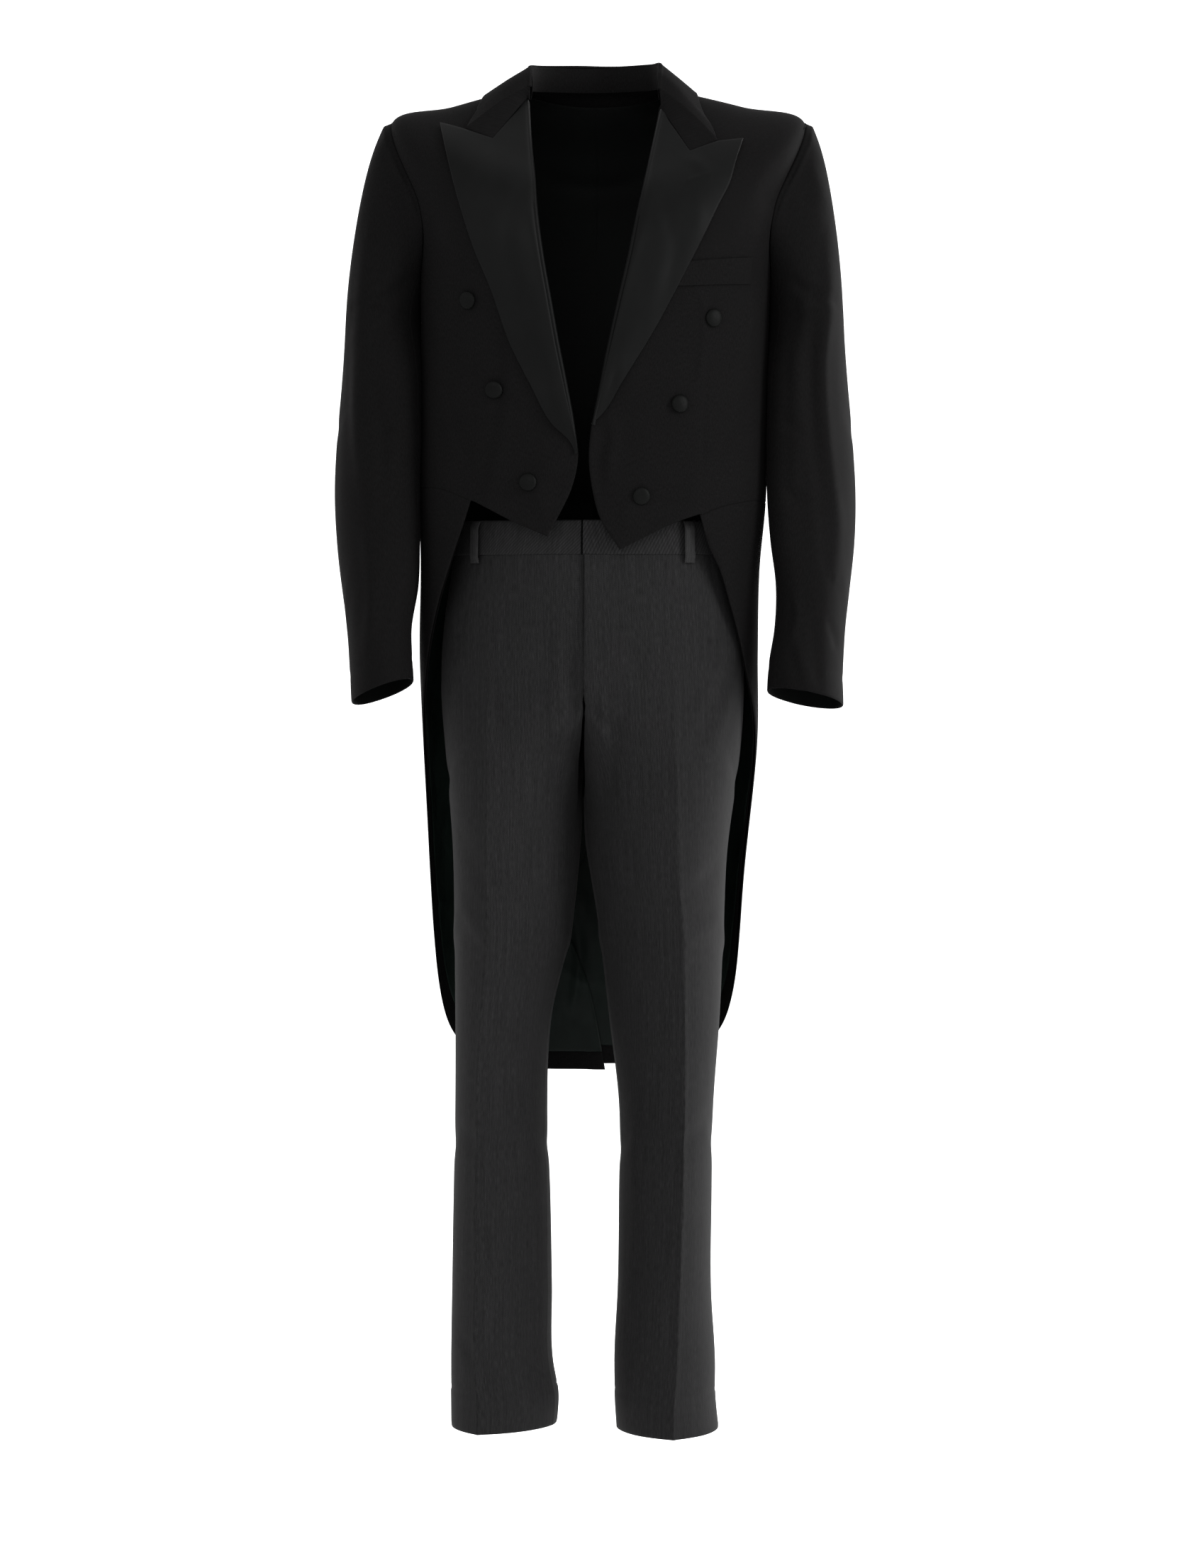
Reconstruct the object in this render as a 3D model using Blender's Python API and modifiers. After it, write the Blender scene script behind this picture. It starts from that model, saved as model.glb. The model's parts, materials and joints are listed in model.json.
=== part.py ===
"""A black evening tailcoat with satin lapels and its charcoal trousers, in the hollow form of a wearer who stands with the arms down.

Metres, +Z up, -Y to the front, +X to the viewer's right. The origin is in the middle of the shoulder line, between the two shoulder seams at the neck.
Every cloth piece is an open sheet through rings worked out from the tables, with a Solidify for the wall. Tables are in millimetres."""

import math

import bpy
import numpy as np

MM = 0.001
CLOTH = 1.6  # wool, with its interlining where it has one
LINING = 1.0
TROUSER = 1.4
SEAM = 0.6  # between the edges of two sewn pieces on the outside; less on the inside
BENT_SEAM = 1.2  # the same where the cloth turns sharply at the seam
LAYER = 0.4  # between two layers that lie on each other
LINING_LAYER = 1.2  # the same between a tail and its lining, which hangs free
RIGHT, LEFT = 1, -1  # the viewer's

# ---------------------------------------------------------------- the coat's form
COAT_FORM = [
    # level  name            half front back  y0   x0  z side z front z back square
    (0.0, "tail end",         164, 100, 112,  40,  -9, -1090, -1090, -1090, 2.4),
    (1.0, "tail low",         170, 104, 116,  36, -10,  -950,  -950,  -950, 2.4),
    (2.0, "tail middle",      175, 108, 122,  28, -10,  -840,  -840,  -840, 2.35),
    (3.0, "thigh",            184, 114, 133,  16,  -6,  -700,  -700,  -700, 2.35),
    (4.0, "seat",             186, 120, 140,   6,  -7.5,  -600,  -600,  -600, 2.35),
    (5.0, "hip",              186, 122, 135,   2,  -6,  -510,  -510,  -510, 2.35),
    (6.0, "waist seam",       190, 121, 119,   0,  -3,  -428,  -428,  -428, 2.4),
    (7.0, "ribs",             190, 127, 112,   0,  -1.5,  -330,  -330,  -330, 2.45),
    (8.0, "chest",            190.5, 134, 121,   0,  -0.5,  -240,  -240,  -240, 2.55),
    (9.0, "armpit",           193, 136, 127,   0,   0.5,  -178,  -192,  -180, 2.7),
    (10.0, "middle armhole",  203, 133, 128,   0,   2,  -105,  -152,  -130, 2.8),
    (11.0, "shoulder end",    226, 121, 121,   2,   3,   -20,  -112,   -84, 2.5),
    (12.0, "middle shoulder", 158,  98, 108,   3,   2,    -1,   -82,   -40, 2.35),
    (13.0, "neck",             84,  64,  76,   5,   0,    18,   -42,     7, 2.2),
]
WAIST, ARMPIT, SHOULDER, NECK = 6.0, 9.0, 11.0, 13.0

# The armhole on that form, as angle from the centre front and level.
ARMHOLE_ANGLE, ARMHOLE_WIDE_FRONT, ARMHOLE_WIDE_BACK = 90, 27, 27
ARMHOLE_LOW, ARMHOLE_HIGH = 8.72, 11.0

# Seams that run up the body: level, angle.
SIDE_SEAM = [(5.0, 86), (6.0, 86), (8.0, 84), (9.3, 76)]
BACK_SEAM = [(6.0, 152), (6.6, 149), (7.6, 140), (8.6, 128), (9.5, 112)]
TAIL_SEAM = [(0.0, 150), (2.0, 150), (4.0, 151), (6.0, 152)]

# The front's free edge and roll line, seen from the front: x, z, from the point of the cut-away up to the neck.
FRONT_EDGE = {
    LEFT: [(-52, -473), (-38, -447), (-27, -424), (-19, -387), (-22, -356), (-30, -311), (-39, -265), (-47, -220), (-55, -174), (-61, -128), (-63.5, -92), (-67.5, -46), (-70, 2)],
    RIGHT: [(26, -487), (4, -451), (-3, -424), (-7, -390), (-4.5, -356), (4, -311), (13, -265), (23, -220), (33.5, -174), (42.5, -128), (50, -92), (58.5, -46), (66, -4)],
}
# Its lower edge and the waist seam, from that point to the side seam: x, z.
FRONT_LOW = {
    LEFT: [(-52, -473), (-91, -456), (-117, -442), (-131, -434), (-152, -424), (-184, -419)],
    RIGHT: [(26, -487), (50, -475), (74, -463), (102, -452), (121, -446), (157, -436), (184, -435)],
}
# The lapel's free edge from its foot to the peak, and its top edge from the gorge at the roll line over the notch to the peak: x, z.
LAPEL_EDGE = {
    LEFT: [(-19, -385), (-23, -375), (-46, -352), (-68, -313), (-91, -268), (-112, -210), (-133, -160), (-144, -126), (-162, -54), (-168.5, -24)],
    RIGHT: [(-6, -352), (5, -342), (27, -308), (57, -261), (91, -200), (121, -141), (132, -118), (144, -94), (151, -68), (159, -43)],
}
LAPEL_TOP = {
    LEFT: [(-72, 6), (-92, -18.5), (-111, -43), (-141, -32.5), (-168.5, -24)],
    RIGHT: [(70, -8), (87, -34), (101.5, -57.5), (131.5, -47), (159, -43)],
}
LAPEL_FOOT = {LEFT: (-19, -385), RIGHT: (-6, -354)}
LAPEL_RISE = 5.2  # how far its middle stands off the front
LAPEL_LIE = 3.8  # how far its edges' outer face stands off the front

# The welt of the breast pocket, on the viewer's right, partly under the lapel: x, z of its corners.
WELT = {"top in": (88, -181), "top out": (168, -173), "low in": (84, -206), "low out": (167, -201)}
WELT_THICK = 1.0

# The tail's front edge, as angle and level, from its corner at the waist seam down to the round corner and along the hem: level, angle.
TAIL_EDGE = {
    LEFT: [(5.93, 41.2), (5.65, 44), (5.33, 48), (5.0, 52.5), (4.7, 57), (4.2, 64), (3.7, 72), (3.2, 82), (2.7, 91), (2.0, 96), (1.4, 99), (0.95, 104), (0.62, 112), (0.38, 124), (0.24, 138)],
    RIGHT: [(5.74, 36), (5.3, 41), (5.0, 46.5), (4.6, 52), (4.2, 58), (3.7, 66), (3.2, 76), (2.7, 86), (2.0, 93), (1.4, 98), (0.95, 104), (0.66, 112), (0.42, 124), (0.26, 138)],
}
TAIL_HEM = {LEFT: [(0.24, 138), (0.16, 151), (0.12, 183)], RIGHT: [(0.26, 138), (0.2, 151), (0.16, 189)]}
# The waist seam round the body: angle, level.
WAIST_LINE = {
    LEFT: [(41.2, 5.93), (50, 6.04), (73, 6.10), (86, 6.10), (152, 6.0), (180, 6.0)],
    RIGHT: [(36.0, 5.74), (42, 5.83), (54, 5.91), (86, 5.93), (152, 6.0), (180, 6.0)],
}
# How far past the centre back each tail runs, by level: level, angle. The left one lies inside.
VENT = {LEFT: [(0.0, 188), (0.8, 180.5), (1.4, 172), (2.4, 184), (4.0, 192), (5.2, 192), (5.6, 190)], RIGHT: [(0.0, 200), (4.0, 198), (5.6, 194)]}
VENT_STEP = 5.4  # how far the inside tail lies in from the outside one
VENT_TOP = 5.6
FACING = 20  # the black band round the lining

# ---------------------------------------------------------------- the sleeve, from the biceps down
# height, outer x, inner x (both from the middle), y of its middle, half depth, fall to the back per mm, fall outward per mm
SLEEVE_FORM = {
    LEFT: [
        (-245, 275, 195.2, 3, 74, 0.02, 0.05),
        (-304, 279, 194.2, 2, 71, 0.02, 0.03),
        (-360, 283.5, 195, 1, 68, 0.02, 0.02),
        (-420, 285.5, 195.8, -2, 66, 0.04, 0.02),
        (-480, 282, 194.8, -8, 64, 0.08, 0.03),
        (-530, 276.5, 194.5, -17, 62, 0.12, 0.06),
        (-580, 271, 201, -28, 59, 0.15, 0.16),
        (-612, 268.5, 200, -37, 57.5, 0.16, 0.26),
        (-641, 266, 198.5, -45, 56.5, 0.16, 0.34),
    ],
    RIGHT: [
        (-245, 272, 193.6, 3, 74, 0.02, 0.04),
        (-304, 276, 191.8, 2, 71, 0.02, 0.03),
        (-360, 281, 191.4, 1, 68, 0.02, 0.02),
        (-420, 284.5, 191, -2, 66, 0.04, 0.02),
        (-480, 283.5, 194, -8, 64, 0.08, 0.03),
        (-530, 278.5, 198, -17, 62, 0.12, 0.05),
        (-580, 272, 195, -28, 60, 0.15, 0.10),
        (-616, 269.5, 189, -38, 58.5, 0.16, 0.14),
        (-648, 270, 187, -46, 57.5, 0.16, 0.18),
    ],
}
# Where it hangs against the body its inner side is flatter and leans in to the front: height, added squareness, lean
SLEEVE_SIDE = [(-245, 0.0, 0.0), (-310, 0.7, 0.12), (-360, 0.9, 0.17), (-480, 0.9, 0.17), (-560, 0.4, 0.08), (-640, 0.0, 0.04)]
SLEEVE_FRONT_SEAM = 138  # degrees round from the outside to the front
SLEEVE_BACK_SEAM = [(0.0, -82), (0.5, -70), (1.0, -48)]  # down the sleeve: share, angle
SLEEVE_SPLIT = 0.34  # the share of its rows that the rounded head takes
HEAD_OUT, HEAD_UP = 62, 16  # how strongly the head leaves the armhole, outward and upward

# ---------------------------------------------------------------- the collar
# round from the left end over the back to the right end: share, then x, y, z of the fold and x, y, z of the free edge
COLLAR = [
    # share  fold x, y, z     edge angle, level
    (0.05, -73.2, -38,  17,   54.0, 11.85),
    (0.12, -74.0, -24,  31,   63.0, 12.20),
    (0.18, -74.3, -13,  38,   76.0, 12.42),
    (0.25, -74.0,  -2,  42,   96.0, 12.56),
    (0.38, -58.0,  44,  47,  135.0, 12.52),
    (0.50,   0.0,  72,  49,  180.0, 12.45),
    (0.62,  57.0,  44,  48,  225.0, 12.55),
    (0.75,  73.0,  -2,  44,  264.0, 12.68),
    (0.82,  73.2, -13,  38,  290.0, 12.56),
    (0.88,  72.5, -24,  31,  304.0, 12.30),
    (0.95,  71.0, -38,  14,  313.5, 11.82),
]
COLLAR_TIP = {LEFT: (-141, -31), RIGHT: (131.5, -45)}  # seen from the front
COLLAR_LIE = 3.5  # how far its free edge's outer face stands off the coat
COLLAR_STAND = 27  # height of the stand inside
COLLAR_WALL = 1.8
COLLAR_GAP = 3.0  # between stand and fall
COLLAR_PUFF = (4.0, 3.0, 0.5, 3.0, 4.0)  # how far the fall stands out between fold and edge: at the back, behind the side, at the side, before it, at the end
GORGE_GAP = 1.2  # between the collar's end and the lapel's top edge, seen from the front

# ---------------------------------------------------------------- buttons
BUTTON_RADIUS, BUTTON_HIGH = 9.6, 4.6
CUFF_RADIUS, CUFF_HIGH = 6.8, 3.8
FRONT_BUTTONS = {LEFT: [(-137, -220), (-109, -316), (-72.5, -415)], RIGHT: [(126, -239), (90, -331), (49, -430)]}
CUFF_BUTTONS = [0.905, 0.937, 0.969]  # share down the sleeve
BACK_BUTTON = (5.93, 156)  # level, angle
BUTTON_LIFT = 0.6

# ---------------------------------------------------------------- the trousers
TURN = -4.5  # degrees, seen from above
TROUSER_X = -4  # their middle, across
CREASE_HIGH = 5.0
WAIST_Z, BAND_LOW = -455, -492.5
HIP_RINGS = [
    # height half front back y0 square
    (-455, 151, 103, 104, 2, 2.25),
    (-492, 153, 106, 108, 2, 2.25),
    (-540, 160, 109, 116, 3, 2.3),
    (-590, 166, 110, 123, 3, 2.35),
    (-640, 168, 109, 126, 3, 2.4),
]
FORK_Z, FLY_LOW_Z, SEAT_LOW_Z = -722, -640, -610
LEGS = {
    # height, outer x, inner x, y of the middle, half depth, turn out in degrees
    LEFT: [
        (-1449, -159.5, -39, -4, 79, -20),
        (-1420, -159.5, -37.5, -4, 79, -20),
        (-1380, -159.5, -43.5, -2, 80, -20),
        (-1300, -158.5, -44.5, 2, 83, -19),
        (-1200, -157.5, -46.5, 5, 86, -18),
        (-1100, -156, -50, 6, 89, -16),
        (-1000, -155.5, -46, 6, 94, -13.5),
        (-900, -156.5, -23.5, 7, 99, -15),
        (-800, -159, -15, 8, 103, -17),
        (-722, -166, -14, 9, 106, -15),
    ],
    RIGHT: [
        (-1453, 136.5, 23, -10, 79, 3),
        (-1420, 133.5, 21, -10, 79, 5),
        (-1380, 133.5, 20.5, -8, 80, 7),
        (-1300, 129, 24.5, -5, 83, 9),
        (-1200, 129, 26, -2, 86, 10),
        (-1100, 130.5, 25.5, 0, 89, 11),
        (-1000, 138, 13, 1, 94, 12),
        (-900, 143, 1, 2, 99, 12),
        (-800, 148, -12.5, 3, 103, 11),
        (-722, 160, -13, 4, 106, 8),
    ],
}
BELT_LOOPS = [(RIGHT, 44), (LEFT, 49), (RIGHT, 122), (LEFT, 122), (RIGHT, 179.9)]  # side, angle round the waist
LOOP_WIDE, LOOP_THICK, LOOP_OVER = 11, 1.2, 9


# ---------------------------------------------------------------- smooth lines through tables
def curve(xs, ys):
    """A smooth line through a table's values, as a function."""
    xs, ys = np.array(xs, float), np.array(ys, float)
    slope, wide = np.diff(ys) / np.diff(xs), np.diff(xs)
    m = np.empty(len(xs))
    m[0], m[-1] = slope[0], slope[-1]
    m[1:-1] = (slope[:-1] * wide[1:] + slope[1:] * wide[:-1]) / (wide[1:] + wide[:-1])

    def at(x):
        x = np.clip(np.asarray(x, float), xs[0], xs[-1])
        i = np.clip(np.searchsorted(xs, x, side="right") - 1, 0, len(xs) - 2)
        h = xs[i + 1] - xs[i]
        t = (x - xs[i]) / h
        return (
            (2 * t**3 - 3 * t**2 + 1) * ys[i]
            + (t**3 - 2 * t**2 + t) * h * m[i]
            + (3 * t**2 - 2 * t**3) * ys[i + 1]
            + (t**3 - t**2) * h * m[i + 1]
        )

    return at


def columns(table, first):
    at = [row[0] for row in table]
    return [curve(at, [row[k] for row in table]) for k in range(first, len(table[0]))]


def path(points, n=None):
    """A smooth path through points by their own length, as a function of the share of it."""
    points = np.array(points, float)
    along = np.concatenate([[0], np.cumsum(np.linalg.norm(np.diff(points, axis=0), axis=1))])
    parts = [curve(along / along[-1], points[:, k]) for k in range(points.shape[1])]
    return lambda t: np.stack([f(t) for f in parts], -1)


def patch(low, high, start, end, us, ws):
    """A sheet of parameters between four edges. low and high are functions of u, start and end of w."""
    u, w = us[None, :, None], ws[:, None, None]
    side = (1 - u) * start(ws)[:, None] + u * end(ws)[:, None]
    rise = (1 - w) * low(us)[None] + w * high(us)[None]
    corner = (1 - w) * ((1 - u) * low(us)[:1][None] + u * low(us)[-1:][None]) + w * ((1 - u) * high(us)[:1][None] + u * high(us)[-1:][None])
    return side + rise - corner


C_HALF, C_FRONT, C_BACK, C_Y0, C_X0, C_ZS, C_ZF, C_ZB, C_SQ = columns(COAT_FORM, 2)


def coat_at(side, angle, level):
    n = C_SQ(level)
    s, c = np.sin(angle), np.cos(angle)
    r = (np.abs(s) ** n + np.abs(c) ** n) ** (-1 / n)
    front = c > 0
    x = side * C_HALF(level) * r * s + C_X0(level)
    y = C_Y0(level) - np.where(front, C_FRONT(level), C_BACK(level)) * r * c
    z = C_ZS(level) + np.where(front, C_ZF(level) - C_ZS(level), C_ZB(level) - C_ZS(level)) * c * c
    return np.stack([x, y, z], -1)


def coat(side, degrees, level, out=0.0):
    """Points of the coat's outside, in mm, moved out along its own normal."""
    angle, level = np.broadcast_arrays(np.radians(np.asarray(degrees, float)), np.asarray(level, float))
    e = 1e-4
    da = coat_at(side, angle + e, level) - coat_at(side, angle - e, level)
    dl = coat_at(side, angle, np.minimum(level + e, NECK)) - coat_at(side, angle, level - e)
    n = np.cross(da, dl) * side
    n /= np.linalg.norm(n, axis=-1, keepdims=True)
    return coat_at(side, angle, level) + n * np.broadcast_to(np.asarray(out, float), level.shape)[..., None]


def on_front(side, x, z, low=4.8, high=NECK):
    """Degrees and level of the coat's point that is seen from the front at x, z."""
    x, z = np.broadcast_arrays(np.asarray(x, float), np.asarray(z, float))
    lo, hi = np.full(x.shape, low), np.full(x.shape, high)

    def angle_of(level):
        q = side * (x - C_X0(level)) / C_HALF(level)
        size = np.clip(np.abs(q), 1e-6, 0.999999)
        n = C_SQ(level)
        return np.sign(q) * np.arctan2(1.0, (size ** (-n) - 1) ** (1 / n))

    for _ in range(45):
        mid = (lo + hi) / 2
        a = angle_of(mid)
        under = C_ZS(mid) + (C_ZF(mid) - C_ZS(mid)) * np.cos(a) ** 2 < z
        lo, hi = np.where(under, mid, lo), np.where(under, hi, mid)
    return np.stack([np.degrees(angle_of(lo)), lo], -1)


def waist_level(side, degrees):
    table = WAIST_LINE[side]
    return curve([r[0] for r in table], [r[1] for r in table])(degrees)


def inset(side, al, amount, across):
    """The same angles and levels, moved by mm along the surface: across moves the angle, else the level."""
    a, l = al[..., 0], al[..., 1]
    if across:
        speed = np.linalg.norm(coat(side, a + 0.05, l) - coat(side, a - 0.05, l), axis=-1) / 0.1
        return np.stack([a + amount / speed, l], -1)
    speed = np.linalg.norm(coat(side, a, l + 0.005) - coat(side, a, l - 0.005), axis=-1) / 0.01
    return np.stack([a, l + amount / speed], -1)


# ---------------------------------------------------------------- Blender objects
def clear():
    for old in list(bpy.data.objects):
        bpy.data.objects.remove(old, do_unlink=True)


def material(name, colour, rough, sheen=0.0):
    m = bpy.data.materials.new(name)
    m.use_nodes = True
    shader = m.node_tree.nodes["Principled BSDF"]
    shader.inputs["Base Color"].default_value = (*colour, 1)
    shader.inputs["Roughness"].default_value = rough
    shader.inputs["Metallic"].default_value = 0
    shader.inputs["Sheen Weight"].default_value = sheen
    m.diffuse_color = (*colour, 1)
    return m


def place(ob, mat):
    ob.data.materials.append(mat)
    TUXEDO.objects.link(ob)
    ob.parent = WEARER
    return ob


def sheet(name, points, mat, wall, axis, closed=False):
    """An open sheet through rows of points, in mm, thickened away from its outside. axis gives a point inside the garment for each of its points."""
    rows, cols = points.shape[:2]
    index = np.arange(rows * cols).reshape(rows, cols)
    if closed:
        index = np.concatenate([index, index[:, :1]], axis=1)
    quads = np.stack([index[:-1, :-1], index[:-1, 1:], index[1:, 1:], index[1:, :-1]], -1).reshape(-1, 4)
    flat = points.reshape(-1, 3)
    middle = flat[quads].mean(axis=1)
    normal = np.cross(flat[quads[:, 2]] - flat[quads[:, 0]], flat[quads[:, 3]] - flat[quads[:, 1]])
    if (normal * (middle - np.broadcast_to(axis, points.shape).reshape(-1, 3)[quads].mean(axis=1))).sum() < 0:
        quads = quads[:, ::-1]
    mesh = bpy.data.meshes.new(name)
    mesh.from_pydata([tuple(p * MM) for p in flat], [], [tuple(int(i) for i in q) for q in quads])
    ob = place(bpy.data.objects.new(name, mesh), mat)
    solid = ob.modifiers.new("wall", "SOLIDIFY")
    solid.thickness = wall * MM
    solid.offset = -1
    return ob


def spine(points, x=0.0, y=0.0):
    """The garment's middle at the height of each point."""
    return np.stack([np.full(points.shape[:-1], x), np.full(points.shape[:-1], y), points[..., 2]], -1)


def button(name, at, out, radius, high, mat, lift=BUTTON_LIFT):
    """A covered button: a low dome, turned about its own axis."""
    profile = [(0, 0), (0.62, 0), (0.97, 0.22), (1, 0.45), (0.86, 0.76), (0.5, 0.95), (0, 1)]
    mesh = bpy.data.meshes.new(name)
    mesh.from_pydata([(r * radius * MM, 0, h * high * MM) for r, h in profile], [(i, i + 1) for i in range(len(profile) - 1)], [])
    ob = place(bpy.data.objects.new(name, mesh), mat)
    turned = ob.modifiers.new("turned", "SCREW")
    turned.steps = turned.render_steps = 12
    turned.use_merge_vertices, turned.merge_threshold = True, 0.00005
    turned.use_normal_calculate = True
    out = out / np.linalg.norm(out)
    ob.location = tuple((at + out * lift) * MM)
    ob.rotation_mode = "XYZ"
    yaw, tilt = math.atan2(out[1], out[0]), math.acos(max(-1, min(1, out[2])))
    ob.rotation_euler = (0, tilt, yaw)
    return ob


# ---------------------------------------------------------------- the armhole and the sleeve
def armhole(side, turn):
    """Degrees and level round the armhole. turn is 0 at the shoulder, a right angle at the front."""
    c, s = np.cos(turn), np.sin(turn)
    wide = np.where(s > 0, ARMHOLE_WIDE_FRONT, ARMHOLE_WIDE_BACK)
    low, high = ARMHOLE_LOW, ARMHOLE_HIGH
    return np.stack([ARMHOLE_ANGLE - wide * s, (low + high) / 2 + (high - low) / 2 * c], -1)


def sleeve_ring(side, z, turn, share=None):
    out_x, in_x, y0, deep, back, outward = [f(-z) for f in SLEEVE[side]]
    cx, half = (out_x + in_x) / 2, (out_x - in_x) / 2
    c, s = np.cos(turn), np.sin(turn)
    near, lean = SLEEVE_NEAR(-z), SLEEVE_LEAN(-z)
    n = np.where(c < 0, 2.15 + near, 2.15)
    r = (np.abs(c) ** n + np.abs(s) ** n) ** (-1 / n)
    dx, dy = half * r * c, -deep * r * s
    return np.stack([side * (cx + dx + lean * dy), y0 + dy, z - back * dy - outward * dx], -1)


def sleeve_at(side, share, turn):
    """Points of the sleeve's outside. share is 0 at the armhole and 1 at the cuff."""
    share, turn = np.broadcast_arrays(np.asarray(share, float), np.asarray(turn, float))
    top = -SLEEVE_FORM[side][0][0]
    cuff = -SLEEVE_FORM[side][-1][0]
    head = share < SLEEVE_SPLIT
    t = np.clip(share / SLEEVE_SPLIT, 0, 1)
    z = -(top + np.clip((share - SLEEVE_SPLIT) / (1 - SLEEVE_SPLIT), 0, 1) * (cuff - top))
    straight = sleeve_ring(side, z, turn)
    al = armhole(side, turn)
    p0 = coat(side, al[..., 0], al[..., 1])
    p1 = sleeve_ring(side, np.full(share.shape, -top * 1.0), turn)
    long = np.linalg.norm(p1 - p0, axis=-1)
    up = np.cos(turn)
    reach = HEAD_OUT * (0.54 + 0.46 * up) * (long / 230).clip(0.35, 1)
    t0 = np.stack([side * reach, np.zeros(share.shape), HEAD_UP * up - 0.45 * long * (1 - up) * 0.5], -1)
    below = sleeve_ring(side, np.full(share.shape, -top - 4.0), turn)
    t1 = (below - p1) / 4.0 * (long * 1.12)[..., None]
    t_ = t[..., None]
    curved = (2 * t_**3 - 3 * t_**2 + 1) * p0 + (t_**3 - 2 * t_**2 + t_) * t0 + (3 * t_**2 - 2 * t_**3) * p1 + (t_**3 - t_**2) * t1
    return np.where(head[..., None], curved, straight)


def sleeve_axis(side, points):
    z = np.minimum(points[..., 2], -245)
    out_x, in_x, y0 = [f(-z) for f in SLEEVE[side][:3]]
    x = side * (out_x + in_x) / 2
    return np.stack([x, y0, points[..., 2]], -1)


# ---------------------------------------------------------------- the pieces
BODY_ROWS = np.linspace(0, 1, 6)  # up a seam from the waist to the armhole
SHOULDER_ROWS = np.linspace(0, 1, 4)
TAIL_ROWS = np.concatenate([[0, 0.022], np.linspace(0.1, 0.87, 8), [0.937, 0.953, 1.0]])  # up the tail


def armhole_part(side, start, end):
    """The armhole between two turns, in degrees, as a function of the share."""
    return lambda t: armhole(side, np.radians(start + (end - start) * np.asarray(t)))


def turn_at(angle, front):
    """The turn, in degrees, at which the lower armhole crosses an angle from the centre front."""
    wide = ARMHOLE_WIDE_FRONT if front else ARMHOLE_WIDE_BACK
    s = (ARMHOLE_ANGLE - angle) / wide
    lower = math.degrees(math.asin(max(-1, min(1, s))))
    return 180 - lower


def chain(*parts):
    """Several paths one after another, each as (function of a share, where it starts, where it ends)."""

    def at(t):
        t = np.asarray(t, float)
        out = None
        for f, a, b in parts:
            value = f(np.clip((t - a) / (b - a), 0, 1))
            out = value if out is None else np.where((t >= a)[..., None], value, out)
        return out

    return at


def front_panel(side):
    edge = path(FRONT_EDGE[side])
    low = path(FRONT_LOW[side])
    inner = lambda t: on_front(side, *np.moveaxis(edge(t), -1, 0))
    bottom_raw = lambda u: on_front(side, *np.moveaxis(low(u), -1, 0))
    seam = curve([r[0] for r in SIDE_SEAM], [r[1] for r in SIDE_SEAM])
    turn0 = turn_at(SIDE_SEAM[-1][1], True)
    hit = armhole(side, np.radians(turn0))
    foot = float(waist_level(side, SIDE_SEAM[1][1]))
    up_seam = lambda t: np.stack([seam(foot + (hit[1] - foot) * t) + (hit[0] - seam(hit[1])) * t, foot + (hit[1] - foot) * t], -1)
    shoulder = lambda t: np.stack([np.full(np.shape(t), 90.0), SHOULDER + (NECK - SHOULDER) * np.asarray(t)], -1)
    outer = chain((up_seam, 0, 0.42), (armhole_part(side, turn0, 0), 0.42, 0.74), (shoulder, 0.74, 1))
    corner = WAIST_LINE[side][0][0]

    def bottom(u):
        al = bottom_raw(u) + np.asarray(u)[:, None] ** 6 * (up_seam(np.array([0.0])) - bottom_raw(np.array([1.0])))
        on_seam = al[:, 0] > corner
        al[on_seam, 1] = waist_level(side, al[on_seam, 0])
        return al

    top_in = inner(np.array([1.0]))[0]
    neck = lambda u: np.stack([top_in[0] + (90 - top_in[0]) * np.asarray(u), top_in[1] + (NECK - top_in[1]) * np.asarray(u)], -1)
    us = np.linspace(0, 1, 8)
    ws = np.concatenate([0.42 * BODY_ROWS, np.linspace(0.42, 0.74, 7)[1:], 0.74 + 0.26 * SHOULDER_ROWS[1:]])
    al = patch(bottom, neck, inner, outer, us, ws)
    al[:, -1] = inset(side, al[:, -1], -SEAM / 2, True)
    n = len(SHOULDER_ROWS)
    al[-n:, -1, 0] = inset(side, np.stack([np.full(n, 90.0), al[-n:, -1, 1]], -1), -BENT_SEAM / 2, True)[:, 0]
    al[0] = inset(side, al[0], BENT_SEAM / 2, False)
    points = coat(side, al[..., 0], np.minimum(al[..., 1], NECK))
    return points, al


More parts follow.
